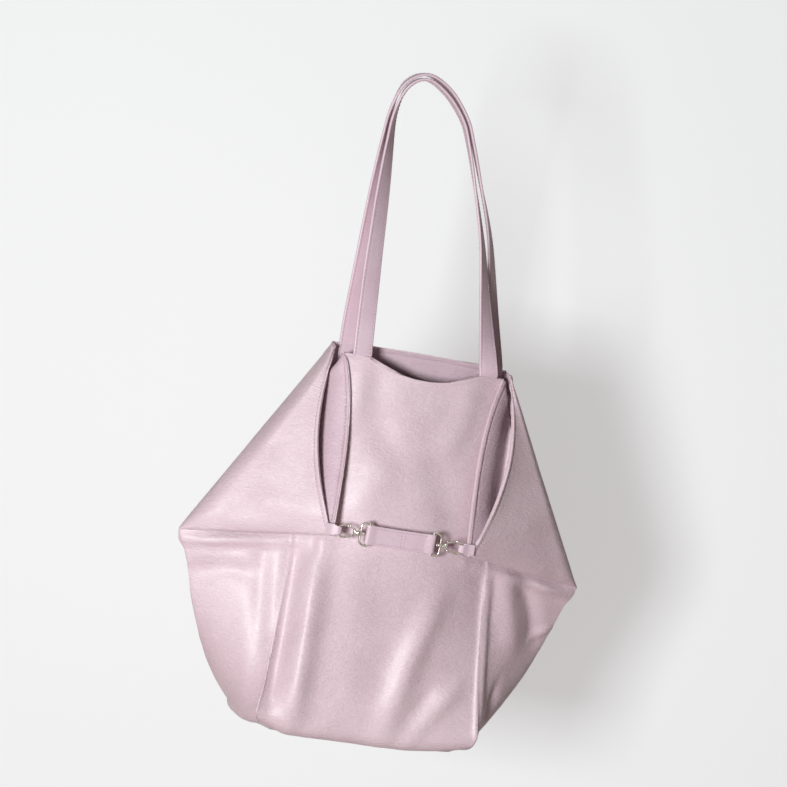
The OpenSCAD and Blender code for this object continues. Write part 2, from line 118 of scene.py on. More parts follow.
@dataclass(frozen=True)
class Profile:
    """A smooth curve through a few known points.

    Attributes:
        knots: Pairs of place and value, in rising order of place.
    """

    knots: tuple[tuple[float, float], ...]

    def slope(self, i: int) -> float:
        """Return the curve's slope at knot i."""
        low, high = max(0, i - 1), min(len(self.knots) - 1, i + 1)
        return (self.knots[high][1] - self.knots[low][1]) / (self.knots[high][0] - self.knots[low][0])

    def at(self, place: float) -> float:
        """Return the curve's value at a place, held level beyond its ends."""
        knots = self.knots
        if place <= knots[0][0]:
            return knots[0][1]
        if place >= knots[-1][0]:
            return knots[-1][1]
        i = next(n for n in range(len(knots) - 1) if place <= knots[n + 1][0])
        span = knots[i + 1][0] - knots[i][0]
        t = (place - knots[i][0]) / span
        a, b = self.slope(i) * span, self.slope(i + 1) * span
        return (
            knots[i][1] * (2 * t**3 - 3 * t**2 + 1)
            + knots[i + 1][1] * (3 * t**2 - 2 * t**3)
            + a * (t**3 - 2 * t**2 + t)
            + b * (t**3 - t**2)
        )


class Zone(Enum):
    """The parts of the wall that a crease can lie on."""

    FRONT = "front"
    BACK = "back"
    WING = "wing"


@dataclass(frozen=True)
class Crease:
    """One fold line pressed into or standing proud of the leather.

    Attributes:
        start: Where it begins, as x and z in millimetres.
        end: Where it ends.
        width: How wide it is, to the side where it has faded to a third.
        height: How far it stands out at its middle; below 0 it is a valley.
        zone: Which part of the wall it lies on.
        bow: How far its middle bends to the side.
    """

    start: tuple[float, float]
    end: tuple[float, float]
    width: float
    height: float
    zone: Zone = Zone.FRONT
    bow: float = 0.0

    def at(self, x: float, z: float) -> float:
        """Return how far the leather is moved outwards at a point of the front or back."""
        ax, az = self.start
        dx, dz = self.end[0] - ax, self.end[1] - az
        length = math.hypot(dx, dz)
        along = ((x - ax) * dx + (z - az) * dz) / (length * length)
        if not -0.25 < along < 1.25:
            return 0.0
        across = ((x - ax) * dz - (z - az) * dx) / length - self.bow * math.sin(math.pi * clamp(along))
        fade = smooth((along + 0.25) / 0.5) * smooth((1.25 - along) / 0.5)
        return self.height * fade * bell(across / self.width)


# Materials


@dataclass
class Wire:
    """A socket of a material, which takes part in Python arithmetic and adds Math nodes as it goes.

    Attributes:
        bench: The material that it belongs to.
        socket: The socket itself.
    """

    bench: "Bench"
    socket: bpy.types.NodeSocket

    def combine(self, operation: str, other: "Wire | float", swap: bool = False) -> "Wire":
        """Join this value to another with one Math node.

        Args:
            operation: The Math node's operation.
            other: The second value.
            swap: Whether the other value comes first.

        Returns:
            The node's result.
        """
        pair = (other, self) if swap else (self, other)
        return self.bench.node("ShaderNodeMath", {"operation": operation}, {0: pair[0], 1: pair[1]})

    def __add__(self, other: "Wire | float") -> "Wire":
        """Return the sum."""
        return self.combine("ADD", other)

    def __radd__(self, other: float) -> "Wire":
        """Return the sum with the other value first."""
        return self.combine("ADD", other, True)

    def __sub__(self, other: "Wire | float") -> "Wire":
        """Return the difference."""
        return self.combine("SUBTRACT", other)

    def __rsub__(self, other: float) -> "Wire":
        """Return the other value less this one."""
        return self.combine("SUBTRACT", other, True)

    def __mul__(self, other: "Wire | float") -> "Wire":
        """Return the product."""
        return self.combine("MULTIPLY", other)

    def above(self, low: float, high: float) -> "Wire":
        """Return 0 below low, 1 above high and a soft step between."""
        return self.bench.node(
            "ShaderNodeMapRange",
            {"interpolation_type": "SMOOTHSTEP"},
            {"Value": self, "From Min": low, "From Max": high},
        )


@dataclass
class Bench:
    """Builds one material, node by node.

    Attributes:
        name: The material's name.
        material: The material itself.
    """

    name: str
    material: bpy.types.Material = field(init=False)

    def __post_init__(self) -> None:
        """Start the material with an empty node tree."""
        self.material = bpy.data.materials.new(self.name)
        self.material.use_nodes = True
        self.material.node_tree.nodes.clear()

    def node(
        self,
        kind: str,
        settings: dict[str, object] | None = None,
        inputs: dict[str | int, object] | None = None,
        output: str | int = 0,
    ) -> Wire:
        """Add one node.

        Args:
            kind: The node's type.
            settings: Properties of the node, set before its sockets.
            inputs: Values or links of its sockets, by name or place.
            output: Which result to return.

        Returns:
            The chosen result.
        """
        made = self.material.node_tree.nodes.new(kind)
        for key, value in (settings or {}).items():
            setattr(made, key, value)
        for key, value in (inputs or {}).items():
            socket = made.inputs[key]
            if isinstance(value, Wire):
                self.material.node_tree.links.new(value.socket, socket)
            else:
                socket.default_value = value
        return Wire(self, made.outputs[output])

    def place(self, scale: Sequence[float] = (1, 1, 1), turn: Sequence[float] = (0, 0, 0)) -> Wire:
        """Return the object coordinates, scaled and turned."""
        where = self.node("ShaderNodeTexCoord", output="Object")
        return self.node("ShaderNodeMapping", None, {"Vector": where, "Scale": scale, "Rotation": turn})

    def noise(self, where: Wire, scale: float, detail: float = 2.0, rough: float = 0.5) -> Wire:
        """Return a noise pattern's value."""
        inputs = {"Vector": where, "Scale": scale, "Detail": detail, "Roughness": rough}
        return self.node("ShaderNodeTexNoise", None, inputs)

    def blend(self, share: Wire | float, first: object, second: object) -> Wire:
        """Return two colours mixed."""
        return self.node("ShaderNodeMix", {"data_type": "RGBA"}, {0: share, 6: first, 7: second}, output=2)

    def bump(self, height: Wire, strength: float, distance: float, under: Wire | None = None) -> Wire:
        """Return a normal bent by a height."""
        inputs = {"Height": height, "Strength": strength, "Distance": distance}
        if under:
            inputs["Normal"] = under
        return self.node("ShaderNodeBump", None, inputs)

    def surface(self, inputs: dict[str | int, object]) -> bpy.types.Material:
        """Finish the material with one general surface shader and return it."""
        return self.finish(self.node("ShaderNodeBsdfPrincipled", None, inputs))

    def finish(self, shader: Wire) -> bpy.types.Material:
        """Join the shader to the material's output and return the material."""
        out = self.material.node_tree.nodes.new("ShaderNodeOutputMaterial")
        self.material.node_tree.links.new(shader.socket, out.inputs["Surface"])
        return self.material


def srgb(red: float, green: float, blue: float) -> tuple[float, float, float, float]:
    """Return a colour given as 0 to 255 screen values in linear light, with full alpha."""
    return tuple(
        (v / 255 / 12.92 if v <= 10.31 else ((v / 255 + 0.055) / 1.055) ** 2.4) for v in (red, green, blue)
    ) + (1.0,)


@dataclass(frozen=True)
class Leather:
    """Soft leather with a pearly top coat and a fine, level grain.

    Attributes:
        name: The material's name.
        base: The main colour.
        deep: The colour in the grain and in worn hollows.
        pale: The colour of rubbed high places.
        rough: How matt the surface is.
        grain: Strength of the grain.
        coat: Strength of the pearly coat.
    """

    name: str
    base: tuple[float, ...]
    deep: tuple[float, ...]
    pale: tuple[float, ...]
    rough: float = 0.44
    grain: float = 0.55
    coat: float = 0.3

    def build(self) -> bpy.types.Material:
        """Make the material: level creases over a pebbled grain, with clouded colour and rubbed edges."""
        bench = Bench(self.name)
        where = bench.place()
        level = bench.place((1, 1, 2.6), (0.0, 0.15, 0.0))
        cloud = bench.noise(where, 9, 3, 0.6)
        warp = bench.noise(where, 60, 2)
        creases = bench.node(
            "ShaderNodeTexVoronoi",
            {"feature": "DISTANCE_TO_EDGE"},
            {"Vector": level, "Scale": 230.0, "Randomness": 1.0},
        ).above(0.0, 0.16)
        pebble = bench.noise(level, 900, 2, 0.6)
        sway = bench.noise(where, 22, 2) * 0.06
        drift = bench.node("ShaderNodeCombineXYZ", None, {"Z": sway})
        stretched = bench.place((1, 1, 3.4))
        flow = bench.node("ShaderNodeVectorMath", {"operation": "ADD"}, {0: stretched, 1: drift})
        streaks = bench.noise(flow, 140, 5, 0.62).above(0.36, 0.68)
        fine = bench.bump(creases * 0.5 + pebble * 0.3, self.grain, 0.0005)
        normal = bench.bump(streaks + warp * 0.3, self.grain, 0.00055, fine)
        edge = bench.node("ShaderNodeNewGeometry", output="Pointiness").above(0.53, 0.62)
        clouded = bench.blend(cloud.above(0.3, 0.7), self.deep, self.base)
        grained = bench.blend((1 - creases) * 0.2 + (1 - streaks) * 0.06, clouded, self.deep)
        colour = bench.blend(edge * 0.45, grained, self.pale)
        return bench.surface({
            "Base Color": colour,
            "Roughness": self.rough + cloud * 0.10 - streaks * 0.06,
            "Normal": normal,
            "Coat Weight": self.coat,
            "Coat Roughness": 0.36,
            "Sheen Weight": 0.12,
            "Sheen Roughness": 0.5,
            "Specular IOR Level": 0.55,
        })


@dataclass(frozen=True)
class Metal:
    """Polished metal with fine rubbing marks.

    Attributes:
        name: The material's name.
        base: The metal's colour.
        dull: The colour where it is rubbed.
        rough: How matt it is.
    """

    name: str
    base: tuple[float, ...]
    dull: tuple[float, ...]
    rough: float = 0.16

    def build(self) -> bpy.types.Material:
        """Make the material: clouded polish with hairline marks."""
        bench = Bench(self.name)
        cloud = bench.noise(bench.place(), 320, 3)
        hairs = bench.noise(bench.place((1, 4, 12)), 900, 2)
        return bench.surface({
            "Base Color": bench.blend(cloud.above(0.35, 0.7), self.dull, self.base),
            "Metallic": 1.0,
            "Roughness": self.rough + cloud * 0.12,
            "Normal": bench.bump(hairs, 0.12, 0.0001),
        })


@dataclass(frozen=True)
class Fibre:
    """A fibrous finish, for thread and for pressed board.

    Attributes:
        name: The material's name.
        base: The main colour.
        deep: The colour between the fibres.
        scale: How fine the fibres are.
    """

    name: str
    base: tuple[float, ...]
    deep: tuple[float, ...]
    scale: float

    def build(self) -> bpy.types.Material:
        """Make the material: twisted fibres in two tones."""
        bench = Bench(self.name)
        fibres = bench.noise(bench.place((1, 1, 3), (0.3, 0.6, 0.2)), self.scale, 4, 0.7)
        return bench.surface({
            "Base Color": bench.blend(fibres.above(0.35, 0.65), self.deep, self.base),
            "Roughness": 0.6 + fibres * 0.2,
            "Normal": bench.bump(fibres, 0.3, 0.0002),
        })


@dataclass(frozen=True)
class PlainWall:
    """The pale wall and floor, which keep the bag's shadow and are seen from the front only.

    Attributes:
        name: The material's name.
        colour: The colour under the lamps.
        cast: The colour of the light that it throws back onto the bag.
        glow: How much of what the camera sees is plain white.
    """

    name: str
    colour: tuple[float, ...]
    cast: tuple[float, ...]
    glow: float

    def build(self) -> bpy.types.Material:
        """Make the material: matt paint, lifted to white for the camera and for reflections."""
        bench = Bench(self.name)
        camera = bench.node("ShaderNodeLightPath", output="Is Camera Ray")
        shown = bench.blend(camera, self.cast, self.colour)
        paint = bench.node("ShaderNodeBsdfDiffuse", None, {"Color": shown})
        white = bench.node("ShaderNodeEmission", None, {"Color": (1, 1, 1, 1), "Strength": 1.0})
        clear = bench.node("ShaderNodeBsdfTransparent")
        glossy = bench.node("ShaderNodeLightPath", output="Is Glossy Ray")
        through = bench.node("ShaderNodeLightPath", output="Is Transmission Ray")
        lifted = (camera + glossy + through) * self.glow
        lit = bench.node("ShaderNodeMixShader", None, {0: lifted, 1: paint, 2: white})
        behind = bench.node("ShaderNodeNewGeometry", output="Backfacing")
        return bench.finish(bench.node("ShaderNodeMixShader", None, {0: behind, 1: lit, 2: clear}))


@dataclass
class Finishes:
    """Every finish of the bag, made once."""

    leather: bpy.types.Material = field(init=False)
    facing: bpy.types.Material = field(init=False)
    strap: bpy.types.Material = field(init=False)
    thread: bpy.types.Material = field(init=False)
    nickel: bpy.types.Material = field(init=False)
    board: bpy.types.Material = field(init=False)

    def __post_init__(self) -> None:
        """Build the materials."""
        self.leather = Leather(
            "mauve_leather", srgb(218, 194, 201), srgb(205, 178, 186), srgb(236, 220, 226)
        ).build()
        self.facing = Leather(
            "facing_leather", srgb(205, 178, 187), srgb(190, 160, 171), srgb(226, 206, 214), 0.48, coat=0.15
        ).build()
        self.strap = Leather(
            "strap_leather", srgb(214, 189, 198), srgb(200, 172, 183), srgb(233, 215, 223), grain=0.3
        ).build()
        self.thread = Fibre("mauve_thread", srgb(196, 168, 178), srgb(150, 122, 132), 2600.0).build()
        self.nickel = Metal("warm_nickel", srgb(226, 220, 210), srgb(196, 188, 176)).build()
        self.board = Fibre("pressed_board", srgb(196, 178, 152), srgb(158, 138, 112), 420.0).build()


# Mesh helpers


def new_object(
    name: str, bm: bmesh.types.BMesh, material: bpy.types.Material
) -> bpy.types.Object:
    """Turn a finished bmesh into a smooth object with one material.

    Args:
        name: The object's name.
        bm: The mesh, which is freed.
        material: What it is made of.

    Returns:
        The object, linked to the scene.
    """
    mesh = bpy.data.meshes.new(name)
    bm.to_mesh(mesh)
    bm.free()
    for polygon in mesh.polygons:
        polygon.use_smooth = True
    mesh.materials.append(material)
    made = bpy.data.objects.new(name, mesh)
    bpy.context.scene.collection.objects.link(made)
    return made


def solidify(piece: bpy.types.Object, thickness: float, rounding: float) -> None:
    """Give a sheet its thickness, half to each side, and round its cut edges.

    Args:
        piece: The sheet.
        thickness: Its thickness in metres.
        rounding: The radius of its edges in metres.
    """
    wall = piece.modifiers.new("thickness", "SOLIDIFY")
    wall.thickness = thickness
    wall.offset = 0.0
    wall.use_even_offset = False
    if "hem" in piece.vertex_groups:
        wall.vertex_group = "hem"
    edge = piece.modifiers.new("edges", "BEVEL")
    edge.width = rounding
    edge.segments = 2
    edge.profile = 0.5
    edge.limit_method = "ANGLE"
    edge.angle_limit = math.radians(55)
    edge.use_clamp_overlap = True


def mapped_grid(
    columns: int, rows: int, where: Callable[[int, int], Vector], closed: bool = False
) -> bmesh.types.BMesh:
    """Lay a grid of faces over a surface.

    Args:
        columns: Faces in the first direction.
        rows: Faces in the second direction.
        where: The place of each grid point, in millimetres.
        closed: Whether the last column meets the first.

    Returns:
        The mesh in metres, with its column and row kept on each point and its cell on each face.
    """
    bm = bmesh.new()
    bmesh.ops.create_grid(bm, x_segments=columns, y_segments=rows, size=0.5)
    column_of = bm.verts.layers.int.new("column")
    row_of = bm.verts.layers.int.new("row")
    cell_of = bm.faces.layers.int.new("cell")
    for face in bm.faces:
        face[cell_of] = int((face.calc_center_median().x + 0.5) * columns)
    for vert in bm.verts:
        i, j = round((vert.co.x + 0.5) * columns), round((vert.co.y + 0.5) * rows)
        vert[column_of], vert[row_of] = i, j
        vert.co = where(i, j) * MM
    if closed:
        bmesh.ops.remove_doubles(bm, verts=bm.verts, dist=1e-6)
    return bm


def tube(
    route: Sequence[Vector], radii: Sequence[tuple[float, float]], side: Vector, around: int = 14
) -> bmesh.types.BMesh:
    """Sweep an oval along a route by extruding a circle.

    Args:
        route: The middle line, in millimetres.
        radii: The oval's half width across the side direction's plane and along it, one pair for each point.
        side: The direction that the second radius follows.
        around: Points round the oval.

    Returns:
        The closed tube, in millimetres.
    """
    bm = bmesh.new()
    ring = bmesh.ops.create_circle(bm, cap_ends=False, radius=1.0, segments=around)["verts"]
    edges = list({e for v in ring for e in v.link_edges})
    angles = [math.atan2(v.co.y, v.co.x) for v in ring]
    last = len(route) - 1
    for i, (point, (across, along)) in enumerate(zip(route, radii)):
        if i:
            grown = bmesh.ops.extrude_edge_only(bm, edges=edges)["geom"]
            ring = [v for v in grown if isinstance(v, bmesh.types.BMVert)]
            edges = [e for e in grown if isinstance(e, bmesh.types.BMEdge)]
        forward = (route[min(last, i + 1)] - route[max(0, i - 1)]).normalized()
        wide = side.cross(forward).normalized()
        for vert, angle in zip(ring, angles):
            vert.co = point + wide * (across * math.cos(angle)) + side * (along * math.sin(angle))
        if i in (0, last):
            bmesh.ops.contextual_create(bm, geom=edges)
    bmesh.ops.recalc_face_normals(bm, faces=bm.faces)
    return bm


def grid_layers(bm: bmesh.types.BMesh) -> tuple[bmesh.types.BMLayerItem, bmesh.types.BMLayerItem]:
    """Return the layers that hold each point's row and column."""
    return bm.verts.layers.int["row"], bm.verts.layers.int["column"]


def merge(target: bmesh.types.BMesh, added: bmesh.types.BMesh) -> None:
    """Add one bmesh to another and free it."""
    mesh = bpy.data.meshes.new("added")
    added.to_mesh(mesh)
    added.free()
    target.from_mesh(mesh)
    bpy.data.meshes.remove(mesh)


def catmull(points: Sequence[Vector], t: float) -> Vector:
    """Return a point of the smooth curve through some points, t counted in points."""
    i = min(int(t), len(points) - 2)
    f = t - i
    a, b = points[max(0, i - 1)], points[i]
    c, d = points[i + 1], points[min(len(points) - 1, i + 2)]
    return b + 0.5 * f * ((c - a) + f * ((2 * a - 5 * b + 4 * c - d) + f * (3 * (b - c) + d - a)))


# The bag's wall


@dataclass
class FoldedPattern:
    """The wall as one folded sheet, in millimetres: the same curves as the solid part.

    Columns count from a panel's middle (0) over its corner (6) and the seam (10) to the gusset's middle (20).

    Attributes:
        rim_z: The front rim's height at its corners.
        rim_sag: How far the front rim sags in its middle.
        corner_x: Half the front rim's width.
        back_corner_x: Half the back rim's width.
        wing_x: How far out a wing's tip is.
        wing_z: The height of a wing's tip.
        base_x: Half the base's width.
        base_y: Half the base's depth.
        panel_half: Half a panel's width in the flat pattern, up to its seam.
        seam_share: How far down the fold the seam meets it.
        panel_n: The column of a panel's corner.
        seam_k: The column of the seam.
        crease_k: The column of the gusset's middle.
        hem_z: The height at which the wall turns into the base.
        layer_gap: How far a wing's outer layer lies before the fold under it.
        fold_gap: How far the front flap lies before the panel.
        tip_start: Where the layers begin to close towards the tip, as a share of the fold.
        sag_half: Half the width of the rim's sag.
        corner_lift: How far the base's corners are pulled up.
        flat_part: The share of the base's width and depth that stays flat.
        wall: The leather's thickness.
        top_centre: Where the right wing's hem ends, at its clasp.
        front_mid_y: The front panel's middle at each height.
        front_seam_y: The front seam's y at each height.
        back_mid_y: The back panel's middle at each height.
        back_seam_y: The back seam's y at each height.
        front_seam_x: The front seam's x at each height.
        back_seam_x: The back seam's x at each height.
        crease_x: How far out the gusset's middle is at each height.
        rounding: How round the gusset is at each height, as a power.
    """

    rim_z: float = 395.0
    rim_sag: float = 15.0
    corner_x: float = 86.0
    back_corner_x: float = 94.0
    wing_x: float = 218.0
    wing_z: float = 184.0
    base_x: float = 118.0
    base_y: float = 71.0
    panel_half: float = 124.0
    seam_share: float = 0.215
    panel_n: float = 6.0
    seam_k: float = 10.0
    crease_k: float = 20.0
    hem_z: float = 14.0
    layer_gap: float = 5.0
    fold_gap: float = 2.75
    tip_start: float = 0.92
    sag_half: float = 60.0
    corner_lift: float = 11.0
    flat_part: float = 0.35
    wall: float = 1.8
    top_centre: Vector = field(default_factory=lambda: Vector((73, -63, 213)))
    front_mid_y: Profile = Profile(((0, -73), (14, -73), (100, -65), (205, -54), (300, -44), (380, -32)))
    front_seam_y: Profile = Profile(((0, -71), (14, -71), (100, -50), (205, -27), (350, -18)))
    back_mid_y: Profile = Profile(((0, 73), (14, 73), (100, 57), (205, 38), (300, 22), (401, 6)))
    back_seam_y: Profile = Profile(((0, 71), (14, 71), (100, 46), (205, 22), (354, 5)))
    front_seam_x: Profile = Profile(((0, 118), (100, 109), (205, 104), (350, 106)))
    back_seam_x: Profile = Profile(((0, 118), (100, 111), (205, 110), (354, 120)))
    crease_x: Profile = Profile(
        ((0, 122), (35, 152), (73, 174), (108, 189), (134, 197.5), (160, 206), (184, 218))
    )
    rounding: Profile = Profile(((0, 0.75), (100, 0.85), (184, 1.2), (395, 1.5)))

    @property
    def front_corner(self) -> Vector:
        """The top of the front fold."""
        return Vector((self.corner_x, -22, self.rim_z))

    @property
    def back_corner(self) -> Vector:
        """The top of the back fold."""
        return Vector((self.back_corner_x, 5, self.rim_z + 6))

    @property
    def wing_tip(self) -> Vector:
        """The wing's outer point."""
        return Vector((self.wing_x, 0, self.wing_z))

    def spread(self, share: float) -> float:
        """Return how far apart the layers are: 1 along the wing, 0 in the round turn at its lower crease."""
        r = clamp((share - self.tip_start) / (1 - self.tip_start))
        return math.sqrt(max(0.0, 1 - r * r))

    def fold_share_of(self, k: float) -> float:
        """Return how far down the fold a column meets it, from 0 at the rim to 1 at the tip."""
        if k <= self.seam_k:
            return self.seam_share * max(0.0, k - self.panel_n) / (self.seam_k - self.panel_n)
        return mix(self.seam_share, 1.0, (k - self.seam_k) / (self.crease_k - self.seam_k))

    def front_fold(self, s: float) -> Vector:
        """Return a point of the front fold."""
        out = self.wing_tip + Vector((-4, -3, 2)) * self.spread(s)
        return mix(self.front_corner, out, s) - Vector((9 * math.sqrt(max(0.0, math.sin(math.pi * s))), 0, 0))

    def back_fold(self, s: float) -> Vector:
        """Return a point of the back fold, the wing's outline."""
        return mix(self.back_corner, self.wing_tip + Vector((-1, 3, 2)) * self.spread(s), s)

    def front_edge(self, s: float) -> Vector:
        """Return a point of the front flap's hem, the inner strip."""
        out = self.top_centre + Vector((-2, 3, 5)) * self.spread(s)
        return mix(self.front_corner, out, s) - Vector((9 * math.sin(math.pi * s**0.7), 0, 0))

    def back_edge(self, s: float) -> Vector:
        """Return a point of the wing's hem."""
        out = self.top_centre + Vector((3, -2, 5)) * self.spread(s)
        bulge = Vector((17 * math.sin(math.pi * s), -14 * math.sin(math.pi * s**0.45), 0))
        return mix(self.back_corner, out, s) + bulge

    def front_flap(self, k: float, w: float) -> Vector:
        """Return a point of the front flap, from its hem (0) to the fold (1)."""
        s = self.fold_share_of(k)
        a, b = self.front_edge(s), self.front_fold(s)
        length = (b - a).length
        drop = self.fold_gap * self.spread(s) * (1 - quarter_round((1 - w) * length / 3)) * clamp(length / 8)
        return mix(a, b, w) - Vector((0, drop, 0))

    def back_flap(self, k: float, w: float) -> Vector:
        """Return a point of the wing's outer layer, which wraps round the front fold."""
        s = self.fold_share_of(k)
        a, b = self.back_edge(s), self.back_fold(s)
        length = (b - a).length
        front_y = self.front_fold(s).y - self.layer_gap * self.spread(s)
        turn = quarter_round((1 - w) * length / max(0.01, min(17.0, length)))
        p = mix(a, b, w)
        return Vector((p.x, mix(a.y, front_y, w) + (b.y - front_y) * turn, p.z))

    def fold_share_at(self, back: bool, z: float) -> float:
        """Return how far down the fold a height is."""
        top = self.back_corner.z if back else self.front_corner.z
        return clamp((top - z) / (top - self.wing_z - 2), 0, 0.999)

    def fold_line(self, back: bool, s: float) -> Vector:
        """Return a point of the back or front fold."""
        return self.back_fold(s) if back else self.front_fold(s)

    def panel_at(self, back: bool, k: float, z: float) -> Vector:
        """Return a point of the front or back panel."""
        s = self.fold_share_at(back, z)
        fold = self.fold_line(back, s)
        upper = s < self.seam_share
        full = mix(self.corner_x, self.panel_half, s / self.seam_share) if upper else self.panel_half
        u = (
            self.corner_x * k / self.panel_n
            if k <= self.panel_n
            else mix(self.corner_x, self.panel_half, (k - self.panel_n) / (self.seam_k - self.panel_n))
        )
        e = min(1.0, u / full)
        seam_x, seam_y, mid_y = self.seam_place(back, z)
        out_x, out_y = (fold.x, fold.y) if upper else (seam_x, seam_y)
        return Vector((out_x * e, mix(mid_y, out_y, e * e), z))

    def seam_place(self, back: bool, z: float) -> tuple[float, float, float]:
        """Return the seam's x and y and the panel's middle y at a height."""
        if back:
            return self.back_seam_x.at(z), self.back_seam_y.at(z), self.back_mid_y.at(z)
        return self.front_seam_x.at(z), self.front_seam_y.at(z), self.front_mid_y.at(z)

    def gusset_at(self, back: bool, k: float, z: float) -> Vector:
        """Return a point of the gusset below the folds."""
        s = self.fold_share_at(back, z)
        fold = self.fold_line(back, s)
        wing_n = self.crease_k - self.seam_k
        last = (
            self.crease_k
            if z <= self.wing_z
            else self.seam_k + wing_n * (s - self.seam_share) / (1 - self.seam_share)
        )
        f = clamp((k - self.seam_k) / max(0.001, last - self.seam_k))
        out_x, out_y = (fold.x, fold.y) if z >= self.wing_z else (self.crease_x.at(z), 0.0)
        seam_x, seam_y, _ = self.seam_place(back, z)
        h = 1 - (1 - f) ** self.rounding.at(z)
        return Vector((mix(seam_x, out_x, f), mix(seam_y, out_y, h), z))

    def rim_point(self, back: bool, k: float) -> Vector:
        """Return a point of the front or back rim between the straps."""
        corner = self.back_corner if back else self.front_corner
        e = k / self.panel_n
        x = corner.x * e
        if back:
            z = mix(self.rim_z + 9, corner.z, (x / self.back_corner_x) ** 2)
        elif x >= self.sag_half:
            z = self.rim_z
        else:
            z = self.rim_z - self.rim_sag * math.cos(math.pi / 2 * x / self.sag_half) ** 0.8
        return Vector((x, mix(6.0 if back else -32.0, corner.y, e * e), z))

    def lift(self, x: float, y: float) -> float:
        """Return how far the base is pulled up at a place, most of all at its corners."""

        def share(a: float, full: float) -> float:
            """Return how far out of the flat middle a place is."""
            return clamp((abs(a) / full - self.flat_part) / (1 - self.flat_part))

        return self.corner_lift * (share(x, self.base_x) * share(y, self.base_y)) ** 2

    def body(self, back: bool, k: float, t: float) -> Vector:
        """Return a point of the wall from its rim or fold (0) to just above the base (1)."""
        top = self.rim_point(back, k) if k <= self.panel_n else self.fold_line(back, self.fold_share_of(k))
        if t <= 0:
            return top
        z = mix(top.z, self.hem_z, t)
        p = self.panel_at(back, k, z) if k <= self.seam_k else self.gusset_at(back, k, z)
        return p + Vector((0, 0, self.lift(p.x, p.y) * clamp((80 - z) / (80 - self.hem_z))))

    def turn_in(self, back: bool, k: float, t: float) -> Vector:
        """Return a point of the round turn from the wall (0) into the base (1)."""
        p = self.body(back, k, 1.0)
        flat = self.panel_at(back, k, self.hem_z) if k <= self.seam_k else self.gusset_at(back, k, self.hem_z)
        rise = self.lift(flat.x, flat.y)
        reach = 12
        low = self.wall / 2 + rise * 0.75
        end = Vector((p.x * (1 - reach / self.base_x), p.y * (1 - reach / self.base_y), low))
        down, inward = math.sin(t * math.pi / 2), 1 - math.cos(t * math.pi / 2)
        return Vector((mix(p.x, end.x, inward), mix(p.y, end.y, inward), mix(p.z, end.z, down)))


